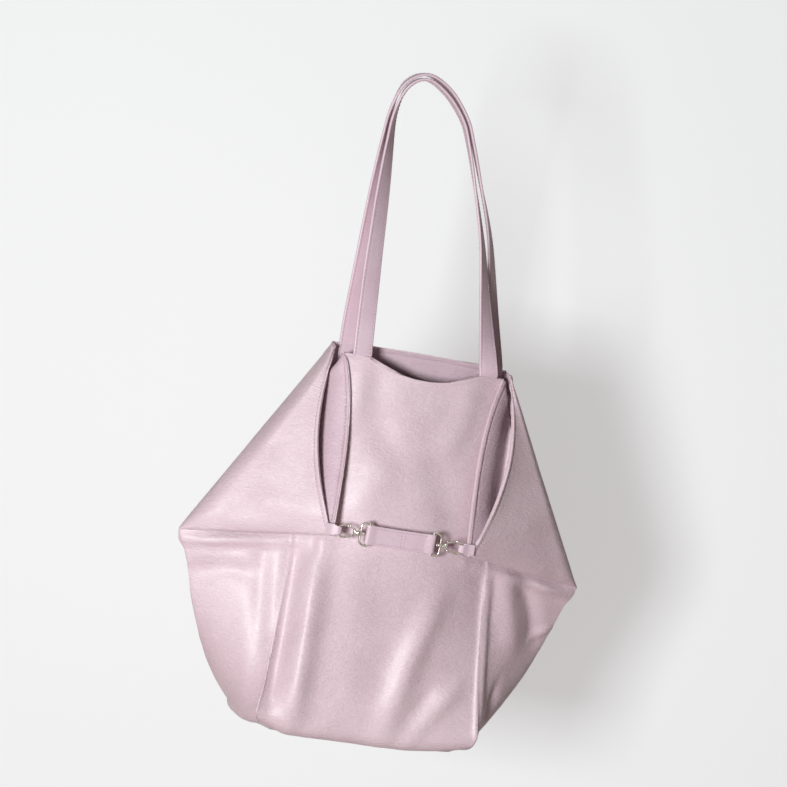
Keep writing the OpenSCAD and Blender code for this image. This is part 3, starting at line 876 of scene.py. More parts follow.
@dataclass
class Shell:
    """The soft wall, its facings and its base, as sewn from one folded pattern.

    Attributes:
        finishes: The bag's materials.
        pattern: The folded sheet's curves.
        flap_rows: Rows of faces from a hem to the fold.
        body_rows: Rows from the fold to the base.
        turn_rows: Rows round the lower edge.
        facing_reach: How far the facing band runs down from the hem, in millimetres.
        facing_t: The facing band's thickness.
        hem_t: The turned hem's thickness.
        creases: The fold lines that the photo shows.
        dent_depth: How far the layers behind the inner strips sink in.
        dent_x: Where they sink in most.
        dent_width: How wide that hollow is.
        hem_lift: How far a wing's hem stands off the layer under it.
        stitch_in: How far below the hem its stitches run.
        lap: How far the panels' facings stand off more than the gussets', where they lap over them.
        columns: Each column's place in the pattern, whether it is on the back, and its side as a sign.
        sheet: The folded sheet that every piece is cut from.
    """

    finishes: Finishes
    pattern: FoldedPattern = field(default_factory=FoldedPattern)
    flap_rows: int = 48
    body_rows: int = 110
    turn_rows: int = 6
    facing_reach: float = 36.0
    facing_t: float = 0.8
    hem_t: float = 3.4
    creases: tuple[Crease, ...] = ()
    dent_depth: float = 20.0
    dent_x: float = 107.0
    dent_width: float = 13.0
    hem_lift: float = 4.5
    lap: float = 0.5
    stitch_in: float = 4.3
    columns: list[tuple[float, bool, int]] = field(init=False)
    sheet: bmesh.types.BMesh = field(init=False)

    def __post_init__(self) -> None:
        """Work out the columns round the bag, closer together where the sheet bends."""
        near_seam = [9.75, 9.86, 9.94, 10.0, 10.06, 10.14, 10.25]
        near_tip = [19.25, 19.5, 19.68, 19.81, 19.9, 19.96, 20.0]
        quarter = sorted(
            {i / 4 for i in range(0, 77) if not 9.7 < i / 4 < 10.3} | set(near_seam) | set(near_tip)
        )
        there, again = quarter[:-1], quarter[:0:-1]
        self.columns = (
            [(k, False, 1) for k in there]
            + [(k, True, 1) for k in again]
            + [(k, True, -1) for k in there]
            + [(k, False, -1) for k in again]
        )
        self.columns.append(self.columns[0])

    @property
    def count(self) -> int:
        """How many columns of faces go round the bag."""
        return len(self.columns) - 1

    @property
    def quarter(self) -> int:
        """How many columns of faces go from a panel's middle to the gusset's middle."""
        return self.count // 4

    def column_at(self, k: float) -> int:
        """Return the first column at a place of the pattern."""
        return next(i for i, c in enumerate(self.columns) if c[0] == k)

    @property
    def rows(self) -> int:
        """All rows of faces from the hem to the base."""
        return self.flap_rows + self.body_rows + self.turn_rows

    def shares(self, row: int) -> tuple[str, float]:
        """Return which part of the sheet a row belongs to and how far along it lies."""
        if row <= self.flap_rows:
            t = row / self.flap_rows
            return "flap", 0.35 * t + 0.65 * (0.5 - 0.5 * math.cos(math.pi * t))
        if row <= self.flap_rows + self.body_rows:
            t = (row - self.flap_rows) / self.body_rows
            return "body", 0.32 * t + 0.68 * t * t
        return "turn", (row - self.flap_rows - self.body_rows) / self.turn_rows

    def point(self, column: int, row: int) -> Vector:
        """Return the place of a grid point before the leather is creased."""
        k, back, side = self.columns[column]
        part, t = self.shares(row)
        if part == "flap":
            if k <= self.pattern.panel_n:
                p = self.pattern.rim_point(back, k)
            else:
                p = self.pattern.back_flap(k, t) if back else self.pattern.front_flap(k, t)
        elif part == "body":
            p = self.pattern.body(back, k, t)
        else:
            p = self.pattern.turn_in(back, k, t)
        return Vector((side * p.x, p.y, p.z))

    def relief(self, p: Vector, zone: Zone, share: float) -> float:
        """Return how far the leather stands out of its plain shape at a point.

        Args:
            p: The point, in millimetres.
            zone: The part of the wall that it is on.
            share: How much of the loose wrinkling it takes.

        Returns:
            The move along the outward direction, in millimetres.
        """
        apart = 7 if zone is Zone.BACK else 0
        wide = noise.fractal(Vector((p.x / 95, p.y / 95 + apart, p.z / 120)), 1.0, 2.0, 3)
        fine = noise.fractal(Vector((p.x / 34, p.y / 34, p.z / 16)), 0.9, 2.0, 3)
        named = sum(c.at(p.x, p.z) for c in self.creases if c.zone is zone)
        return share * (1.5 * wide + (0.12 if zone is Zone.WING else 0.24) * fine) + named

    def dent(self, p: Vector) -> float:
        """Return how far the front flap and the sheet under it sink in behind the inner strip."""
        height = smooth((p.z - 222) / 50) * smooth((398 - p.z) / 40)
        return self.dent_depth * height * bell((abs(p.x) - self.dent_x) / self.dent_width)

    def round_folds(self) -> None:
        """Round the wings' outlines and tips, which are sharp in the plain pattern."""
        bm = self.sheet
        row_of, column_of = grid_layers(bm)
        first_k, beside_fold = 7, 9
        tip_k, above_tip, below_tip = 18.6, 3, 40
        bent = []
        for vert in bm.verts:
            k, back, _ = self.columns[vert[column_of]]
            past_fold = vert[row_of] - self.flap_rows
            outline = back and k > first_k and abs(past_fold) <= beside_fold
            if outline or (k > tip_k and -above_tip < past_fold < below_tip):
                bent.append(vert)
        for _ in range(3):
            bmesh.ops.smooth_vert(
                bm, verts=bent, factor=0.5, use_axis_x=True, use_axis_y=True, use_axis_z=True
            )

    def crease_sheet(self) -> None:
        """Press the folds and wrinkles into the sheet."""
        bm = self.sheet
        row_of, column_of = grid_layers(bm)
        pattern = self.pattern
        bm.normal_update()
        moves: list[tuple[bmesh.types.BMVert, Vector]] = []
        for vert in bm.verts:
            k, back, _ = self.columns[vert[column_of]]
            row = vert[row_of]
            p = vert.co / MM
            part, t = self.shares(row)
            outward = Vector(vert.normal)
            zone = Zone.BACK if back else Zone.FRONT
            if part == "flap":
                if k <= pattern.panel_n:
                    continue
                share = 0.55 * smooth(t * 4) * smooth((1 - t) * 4) * smooth((20 - k) / 2)
                forward = self.relief(p, Zone.WING, share)
                if back:
                    s = pattern.fold_share_of(k)
                    below = self.below_hem(vert[column_of], row)
                    forward += self.hem_lift * math.exp(-below / 15) * math.sin(math.pi * s) ** 0.6
                else:
                    forward -= self.dent(p)
                move = Vector((0, -forward, 0))
            elif part == "turn":
                move = outward * (0.35 * self.relief(p, zone, 0.0))
                move.z = max(move.z, pattern.wall / 2 - p.z)
            else:
                near_fold = smooth(t * 9)
                covered = 0 if back else smooth((p.z - pattern.wing_z + 8) / 22) * smooth((k - 6.2) / 1.4)
                free = 1 - 0.7 * covered
                share = near_fold * free * (1 - 0.8 * bell((k - pattern.seam_k) / 0.6))
                seam = -0.9 * bell((k - pattern.seam_k) * 11 / 2.2) * near_fold
                hang = 1 - 0.65 * smooth((60 - p.z) / 45)
                move = outward * (self.relief(p, zone, share) * min(free, hang) + seam)
                if not back:
                    move.y += self.dent(p)
            moves.append((vert, move))
        for vert, move in moves:
            vert.co += move * MM

    def build(self) -> list[bpy.types.Object]:
        """Sew the bag's wall, facings and base.

        Returns:
            Every piece of it.
        """
        self.sheet = mapped_grid(self.count, self.rows, self.point, closed=True)
        self.round_folds()
        self.crease_sheet()
        bmesh.ops.recalc_face_normals(self.sheet, faces=self.sheet.faces)
        self.sheet.normal_update()
        seam = self.column_at(self.pattern.seam_k)
        half, full = 2 * self.quarter, 4 * self.quarter
        spans = {
            "front": [(0, seam), (full - seam, full)],
            "right": [(seam, half - seam)],
            "back": [(half - seam, half + seam)],
            "left": [(half + seam, full - seam)],
        }
        pieces = []
        for name, ranges in spans.items():
            node = f"{name}_panel" if name in ("front", "back") else f"{name}_gusset"
            wall = self.cut(ranges)
            self.thicken_hem(wall)
            piece = new_object(f"{node}_leather", wall, self.finishes.leather)
            piece.vertex_groups.new(name="hem")
            solidify(piece, self.hem_t * MM, 0.0007)
            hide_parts(node)
            band = self.cut(ranges, facing=True, lap=self.lap if name in ("front", "back") else 0.0)
            lining = new_object(f"{name}_facing_band", band, self.finishes.facing)
            solidify(lining, self.facing_t * MM, 0.0003)
            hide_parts(f"{name}_facing")
            pieces += [piece, lining]
        pieces += [self.base(), self.hem_thread()]
        for piece in pieces:
            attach(piece, "shell")
        self.sheet.free()
        return pieces

    def hem_thread(self) -> bpy.types.Object:
        """Sew a row of stitches along every hem, on both faces, and return the thread."""
        bm = self.sheet
        bm.normal_update()
        row_of, column_of = grid_layers(bm)
        places = {(v[column_of] % self.count, v[row_of]): v for v in bm.verts}
        needle = Needle("hem_thread", self.finishes.thread, pitch=4.0, length=2.8, radius=0.38)
        for first, last in self.hem_spans():
            for face, skin in ((1, self.pattern.wall / 2), (-1, self.pattern.wall / 2 + self.facing_t)):
                line = []
                for column in range(first, last + 1):
                    row = next(r for r in range(self.rows) if self.below_hem(column, r + 1) > self.stitch_in)
                    ring = column % self.count
                    low, high = self.below_hem(column, row), self.below_hem(column, row + 1)
                    share = (self.stitch_in - low) / (high - low)
                    a, b = places[ring, row], places[ring, row + 1]
                    out = mix(a.normal, b.normal, share).normalized() * face
                    line.append((mix(a.co, b.co, share) / MM + out * skin, out))
                needle.sew(line)
        return needle.finish()

    def hem_spans(self) -> list[tuple[int, int]]:
        """Return the first and last column of each run of stitches: the four flaps and the back rim."""
        corner = self.column_at(self.pattern.panel_n)
        tip, half, full = self.quarter - 3, 2 * self.quarter, 4 * self.quarter
        spans = []
        for start, step in ((0, 1), (half, -1), (half, 1), (full, -1)):
            spans.append(tuple(sorted((start + step * (corner + 1), start + step * tip))))
        return spans + [(half - corner + 1, half + corner - 1)]

    def thicken_hem(self, bm: bmesh.types.BMesh) -> None:
        """Mark how thick each point is: thicker at the turned hem, thinner in the sewn groove below it."""
        weights = bm.verts.layers.deform.verify()
        row_of, column_of = grid_layers(bm)
        thin = self.pattern.wall / self.hem_t
        for vert in bm.verts:
            below = self.below_hem(vert[column_of], vert[row_of])
            k, back, _ = self.columns[vert[column_of]]
            sewn = 1 if back else smooth((k - self.pattern.panel_n) / 0.5)
            hem, groove = self.hem_shares(below)
            vert[weights][0] = clamp(thin + (1 - thin) * hem - 0.4 * sewn * groove * thin, 0.1, 1.0)

    def hem_shares(self, below: float) -> tuple[float, float]:
        """Return how much of the turned hem and of the groove under it there is at a depth below the hem."""
        return 1 - smooth((below - self.stitch_in + 1.2) / 1.2), bell((below - self.stitch_in) / 0.9)

    def cut(
        self, ranges: Sequence[tuple[int, int]], facing: bool = False, lap: float = 0.0
    ) -> bmesh.types.BMesh:
        """Cut one piece out of the folded sheet.

        Args:
            ranges: The columns it takes, as pairs of first and last.
            facing: Whether it is the band along the inside of the rim.
            lap: How much further in the band lies, in millimetres.

        Returns:
            The piece's mesh.
        """
        bm = self.sheet.copy()
        cell_of = bm.faces.layers.int["cell"]
        row_of, column_of = grid_layers(bm)
        gone = []
        for face in bm.faces:
            inside = any(a <= face[cell_of] < b for a, b in ranges)
            if inside and facing:
                depths = [self.below_hem(v[column_of], v[row_of]) for v in face.verts]
                inside = max(depths) <= self.facing_reach and min(depths) > 0.5
            if not inside:
                gone.append(face)
        bmesh.ops.delete(bm, geom=gone, context="FACES")
        if facing:
            bm.normal_update()
            inward = (self.pattern.wall / 2 + 0.1 + self.facing_t / 2 + lap) * MM
            moves = []
            for vert in bm.verts:
                below = self.below_hem(vert[column_of], vert[row_of])
                roll, groove = self.hem_shares(below)
                moves.append((vert, -(inward + (0.9 * roll - 0.6 * groove) * MM) * vert.normal))
            for vert, move in moves:
                vert.co += move
        return bm

    def below_hem(self, column: int, row: int) -> float:
        """Return roughly how far below the hem a grid point lies, in millimetres."""
        k, back, _ = self.columns[column]
        part, t = self.shares(row)
        s = self.pattern.fold_share_of(k)
        edge = self.pattern.back_edge(s) if back else self.pattern.front_edge(s)
        fold = self.pattern.fold_line(back, s)
        flap = (fold - edge).length if k > self.pattern.panel_n else 0.0
        if part == "flap":
            return flap * t
        if part == "turn":
            return 999.0
        return flap + t * (fold.z - self.pattern.hem_z)

    def base(self) -> bpy.types.Object:
        """Lay the base inside the wall's lower edge and return it."""
        pattern = self.pattern
        lowest = {}
        row_of, column_of = grid_layers(self.sheet)
        for vert in self.sheet.verts:
            if vert[row_of] == self.rows:
                lowest[vert[column_of]] = vert.co / MM
        rings = 12

        def where(column: int, row: int) -> Vector:
            """Return a point of the base, from its seam at row 0 to its middle at the last row."""
            edge = lowest.get(column, lowest.get(column % self.count))
            r = 1 - row / rings
            x, y = edge.x * r, edge.y * r
            flat = pattern.wall / 2 + 0.75 * pattern.lift(x, y)
            hang = 0.5 * noise.noise(Vector((x / 40, y / 40, 3)))
            return Vector((x, y, edge.z if row == 0 else flat + max(0.0, hang) * (1 - r)))

        bm = mapped_grid(self.count, rings, where, closed=True)
        bmesh.ops.recalc_face_normals(bm, faces=bm.faces)
        for face in bm.faces:
            if face.normal.z > 0:
                face.normal_flip()
        piece = new_object("base_panel_leather", bm, self.finishes.leather)
        solidify(piece, pattern.wall * MM, 0.0005)
        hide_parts("base_panel")
        return piece


CREASES = (
    Crease((-98, 206), (-105, 0), 9, 6.5),
    Crease((-77, 190), (-81, -14), 13, -10),
    Crease((-131, 180), (-116, 12), 9, 2.5),
    Crease((-196, 160), (-142, 170), 10, -1.8),
    Crease((-198, 142), (-140, 156), 10, 2, bow=-4),
    Crease((-204, 177), (-84, 200), 6, -8),
    Crease((204, 177), (84, 200), 6, -8),
    Crease((107, 205), (120, 8), 5, -4),
    Crease((52, 158), (15, 2), 14, -7, bow=4),
    Crease((88, 70), (42, 6), 10, -5, bow=3),
    Crease((62, 66), (36, 14), 9, 3),
    Crease((-12, 192), (14, 50), 24, 3),
    Crease((-34, 24), (-66, 2), 8, -3),
    Crease((124, 198), (150, 112), 14, -7),
    Crease((150, 190), (179, 118), 10, 5, bow=-4),
    Crease((196, 138), (172, 122), 4, -2.5),
    Crease((140, 76), (127, 10), 6, 4),
    Crease((-62, 388), (-72, 318), 10, -1.5, bow=-3),
    Crease((-52, 386), (-16, 286), 16, 3.0, bow=5),
    Crease((52, 384), (34, 312), 15, -3, bow=-4),
    Crease((60, 230), (22, 300), 18, 2.5),
    Crease((-46, 232), (-24, 300), 18, -3),
    Crease((-96, 190), (-60, 40), 16, -4, Zone.BACK),
    Crease((98, 190), (66, 30), 16, -4, Zone.BACK),
    Crease((-70, 398), (-36, 300), 14, -3.5, Zone.BACK),
    Crease((72, 398), (30, 290), 16, -3.5, Zone.BACK),
    Crease((-60, 110), (-20, 10), 14, -5, Zone.BACK),
    Crease((40, 120), (70, 8), 14, -5, Zone.BACK, bow=4),
    Crease((0, 330), (-10, 150), 26, 3.5, Zone.BACK),
    Crease((-150, 196), (-128, 100), 12, -5, Zone.BACK),
    Crease((152, 194), (134, 96), 13, -5, Zone.BACK),
    Crease((-84, 232), (-150, 232), 12, 1.8, Zone.WING),
    Crease((-96, 262), (-150, 300), 16, -1.8, Zone.WING),
    Crease((88, 236), (150, 246), 12, 1.8, Zone.WING),
    Crease((100, 280), (150, 300), 16, -1.8, Zone.WING),
    Crease((212, 190), (176, 200), 7, -1.5, Zone.WING),
    Crease((-212, 190), (-178, 202), 7, -1.5, Zone.WING),
)


# Thread


@dataclass
class Needle:
    """Sews rows of stitches, which all end up in one mesh.

    Attributes:
        name: The name of the finished thread.
        material: What it is made of.
        pitch: From one stitch to the next, in millimetres.
        length: One stitch's length.
        radius: The thread's radius.
        batch_size: How many stitches are added to the finished ones at a time.
        bm: The finished stitches.
        batch: The stitches that wait to be added.
        waiting: How many of them there are.
    """

    name: str
    material: bpy.types.Material
    pitch: float = 4.0
    length: float = 3.1
    radius: float = 0.33
    batch_size: int = 24
    bm: bmesh.types.BMesh = field(init=False)
    batch: bmesh.types.BMesh = field(init=False)
    waiting: int = 0

    def __post_init__(self) -> None:
        """Start with no stitches."""
        self.bm = bmesh.new()
        self.batch = bmesh.new()

    def sew(self, line: Sequence[tuple[Vector, Vector]]) -> None:
        """Sew one row of stitches.

        Args:
            line: Points along the row and the direction out of the leather at each, in millimetres.
        """
        lengths = [0.0]
        for (a, _), (b, _) in zip(line, line[1:]):
            lengths.append(lengths[-1] + (b - a).length)
        place, i = self.pitch / 2, 0
        while place < lengths[-1]:
            while lengths[i + 1] < place:
                i += 1
            f = (place - lengths[i]) / (lengths[i + 1] - lengths[i])
            (a, up_a), (b, up_b) = line[i], line[i + 1]
            self.stitch(mix(a, b, f), (b - a).normalized(), mix(up_a, up_b, f).normalized())
            place += self.pitch

    def stitch(self, middle: Vector, along: Vector, up: Vector) -> None:
        """Sew one stitch: a short bead of thread, sunk at both ends."""
        side = up.cross(along).normalized()
        frame = Matrix((along, side, along.cross(side))).transposed().to_4x4()
        made = bmesh.ops.create_uvsphere(self.batch, u_segments=6, v_segments=4, radius=1.0)["verts"]
        shape = Matrix.Diagonal((self.radius, self.radius, self.length / 2, 1.0))
        turn = Matrix.Rotation(math.pi / 2, 4, "Y")
        place = Matrix.Translation(middle) @ frame @ turn @ shape
        bmesh.ops.transform(self.batch, matrix=Matrix.Scale(MM, 4) @ place, verts=made)
        self.waiting += 1
        if self.waiting == self.batch_size:
            self.keep()

    def keep(self) -> None:
        """Add the batch of stitches to the finished ones."""
        merge(self.bm, self.batch)
        self.batch = bmesh.new()
        self.waiting = 0

    def finish(self) -> bpy.types.Object:
        """Return the thread as one object."""
        self.keep()
        self.batch.free()
        return new_object(self.name, self.bm, self.material)


# Straps


@dataclass
class Strap:
    """One long strap: folded leather, sewn along both edges, caught between panel and facing at the rim.

    Attributes:
        name: The CAD node that it stands for.
        knots: Its middle line from the left end to the right end, in millimetres.
        face: -1 where it lies on the front panel, 1 on the back panel.
        hinge: Where it leaves the rim, as y and z in millimetres; not used.
        rising: How far the left leg is twisted at each height, in degrees.
        falling: How far the right leg is twisted at each height.
        finishes: The bag's materials.
        width: The strap's width, in millimetres.
        thickness: The strap's thickness.
        steps: Rings of points from one knot to the next.
        tail: How far each end runs down behind the rim.
        tail_rings: Rings of points along one tail.
        stitch_in: How far in from the edge the stitches run.
    """

    name: str
    knots: tuple[tuple[float, float, float], ...]
    face: int
    hinge: tuple[float, float]
    rising: Profile
    falling: Profile
    finishes: Finishes
    width: float = 20.0
    thickness: float = 3.0
    steps: int = 9
    tail: float = 16.0
    tail_rings: int = 4
    stitch_in: float = 2.6

    @property
    def free_rings(self) -> int:
        """How many steps of rings lie between the two ends at the rim."""
        return (len(self.knots) - 1) * self.steps

    def section(self) -> list[tuple[float, float]]:
        """Return the strap's cross-section as shares of half its width and half its thickness."""
        upper = [
            (-1.0, 0.0), (-0.985, 0.5), (-0.93, 0.85), (-0.84, 0.97), (-0.77, 0.86), (-0.70, 0.84),
            (-0.60, 0.97), (-0.30, 1.0), (0.0, 1.0), (0.30, 1.0), (0.60, 0.97), (0.70, 0.84),
            (0.77, 0.86), (0.84, 0.97), (0.93, 0.85), (0.985, 0.5),
        ]
        return upper + [(-a, -b) for a, b in upper]

    def frame(self, t: float) -> tuple[Vector, Vector, Vector]:
        """Return the strap's middle, its width's direction and its outer face's direction at a place."""
        points = [Vector(p) for p in self.knots]
        last = len(points) - 1
        p = catmull(points, clamp(t, 0, last - 1e-6))
        after, before = (catmull(points, clamp(t + step, 0, last - 1e-6)) for step in (0.1, -0.1))
        ahead = after - before
        ahead.normalize()
        top = max(range(last), key=lambda i: points[i].z)
        turn = math.radians(self.rising.at(p.z) if t <= top else 180 - self.falling.at(p.z))
        flat = Vector((0, self.face, 0)) - ahead * (ahead.y * self.face)
        flat.normalize()
        out = flat * math.cos(turn) + ahead.cross(flat) * math.sin(turn)
        return p, ahead.cross(out), out

    def ring(self, i: int) -> tuple[Vector, Vector, Vector, float]:
        """Return ring i's frame and thickness; the outermost rings run down behind the panel."""
        past = i - self.tail_rings
        middle, wide, out = self.frame(clamp(past, 0, self.free_rings) / self.steps)
        under = max(-past, past - self.free_rings, 0) / self.tail_rings
        drop = Vector((0, -self.face * 3.4 * smooth(under * 2.5), -self.tail * under))
        return middle + drop, wide, out, mix(self.thickness, 1.6, smooth(under * 2))

    def build(self) -> list[bpy.types.Object]:
        """Make the strap and its stitching.

        Returns:
            The strap and its thread.
        """
        shape = self.section()
        rings = self.free_rings + 2 * self.tail_rings

        def where(column: int, row: int) -> Vector:
            """Return a point of the strap's skin."""
            middle, wide, out, thick = self.ring(row)
            a, b = shape[column % len(shape)]
            slack = 0.35 * noise.noise(middle / 45 + Vector((self.face * 9, 0, 0)))
            return middle + wide * (a * self.width / 2) + out * (b * thick / 2 + slack)

        bm = mapped_grid(len(shape), rings, where, closed=True)
        bmesh.ops.holes_fill(bm, edges=[e for e in bm.edges if e.is_boundary], sides=0)
        bmesh.ops.recalc_face_normals(bm, faces=bm.faces)
        piece = new_object(f"{self.name}_leather", bm, self.finishes.strap)
        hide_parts(self.name)
        needle = Needle(f"{self.name}_thread", self.finishes.thread)
        for edge in (-1, 1):
            for outer in (-1, 1):
                line = []
                for i in range(self.tail_rings, rings - self.tail_rings + 1):
                    middle, wide, out, thick = self.ring(i)
                    reach = (self.width / 2 - self.stitch_in) * edge
                    line.append((middle + wide * reach + out * (outer * (thick / 2 - 0.1)), out * outer))
                needle.sew(line)
        thread = needle.finish()
        for made in (piece, thread):
            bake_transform(made)
        return [piece, thread]


FRONT_KNOTS = (
    (-68, -25.7, 396), (-70, -23, 425), (-73, -15, 490), (-75, -8, 555), (-76.5, -2, 610),
    (-76, 0, 645), (-68, 0, 672), (-50, 0, 683), (-27, 0, 672), (-6, 0, 650), (5, -1, 628),
    (19, -5, 588), (36, -13, 532), (53, -20, 460), (68, -25.7, 396),
)
REAR_KNOTS = (
    (-78, 5.3, 403.5), (-79, 5, 430), (-79.5, 4, 490), (-80.5, 3, 555), (-81.5, 1, 610),
    (-81, 0, 647), (-71.5, 0, 676), (-50, 0, 688), (-24, 0, 676.5), (-2, 0, 653), (10, 1, 630),
    (27, 3, 590), (50, 5, 532), (66, 5, 465), (80, 5.3, 403.5),
)


LEFT_TWIST = Profile(((398, 0), (471, 13), (512, 24), (553, 33), (583, 44), (614, 58), (655, 76), (683, 90)))
RIGHT_TWIST = Profile(((404, 0), (428, 22), (475, 46), (532, 66), (591, 78), (650, 86), (683, 90)))


# Clasps


@dataclass
class Connector:
    """The short doubled strap between the two hooks: one band folded round the bars of both eyes.

    Attributes:
        finishes: The bag's materials.
        middle: Its middle, in millimetres.
        span: From one eye's bar to the other.
        width: The band's width.
        half_gap: Half the distance between the two layers' middles.
        end_r: The radius of the turn round an eye's bar.
        band: The band's thickness.
    """

    finishes: Finishes
    middle: Vector = field(default_factory=lambda: Vector((-2, -67, 219.5)))
    span: float = 68.0
    width: float = 20.0
    half_gap: float = 0.85
    end_r: float = 2.1
    band: float = 1.5

    def path(self, share: float) -> tuple[float, float]:
        """Return a point of the band's closed loop in plan: x along the strap and y through it."""
        half = self.span / 2
        straight, arc = 2 * half, math.pi * self.end_r
        place = (share % 1.0) * 2 * (straight + arc)
        flip = place >= straight + arc
        place -= (straight + arc) if flip else 0
        if place < straight:
            x = -half + place
            pinch = smooth((half - abs(x)) / 9.0)
            y = -mix(self.end_r, self.half_gap, pinch)
        else:
            angle = (place - straight) / self.end_r - math.pi / 2
            x, y = half + self.end_r * math.cos(angle), self.end_r * math.sin(angle)
        return (-x, -y) if flip else (x, y)

    def sag(self, x: float) -> float:
        """Return how much higher than at the eyes the band hangs, which is less than nothing."""
        return -0.5 * (1 - (x / (self.span / 2)) ** 2)

    def build(self) -> list[bpy.types.Object]:
        """Make the band and its stitching.

        Returns:
            The band and its thread.
        """
        around, across = 150, 10

        def where(column: int, row: int) -> Vector:
            """Return a point of the band."""
            x, y = self.path(column / around)
            up = (row / across - 0.5) * self.width
            ripple = 0.12 * noise.noise(Vector((x / 9, up / 9, y)))
            return self.middle + Vector((x, y + ripple, up + self.sag(x)))

        bm = mapped_grid(around, across, where, closed=True)
        bmesh.ops.recalc_face_normals(bm, faces=bm.faces)
        piece = new_object("connector_strap_leather", bm, self.finishes.strap)
        solidify(piece, self.band * MM, 0.0004)
        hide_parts("connector_strap")
        needle = Needle("connector_thread", self.finishes.thread, pitch=3.4, length=2.6, radius=0.3)
        half, edge, parts = self.span / 2, 7.6, 8
        for face in (-1, 1):
            up = Vector((0, face, 0))
            depth = face * (self.half_gap + self.band / 2)
            rows = [[(-half + 7, z), (half - 7, z)] for z in (-edge, edge)]
            rows += [[(x, -edge), (x, edge)] for x in (-half + 6.5, half - 6.5, 0.6, 4.4)]
            for (x0, z0), (x1, z1) in rows:
                line = []
                for i in range(parts + 1):
                    x, z = mix(x0, x1, i / parts), mix(z0, z1, i / parts)
                    line.append((self.middle + Vector((x, depth, z + self.sag(x))), up))
                needle.sew(line)
        made = [piece, needle.finish()]
        for one in made:
            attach(one, "connector")
        return made


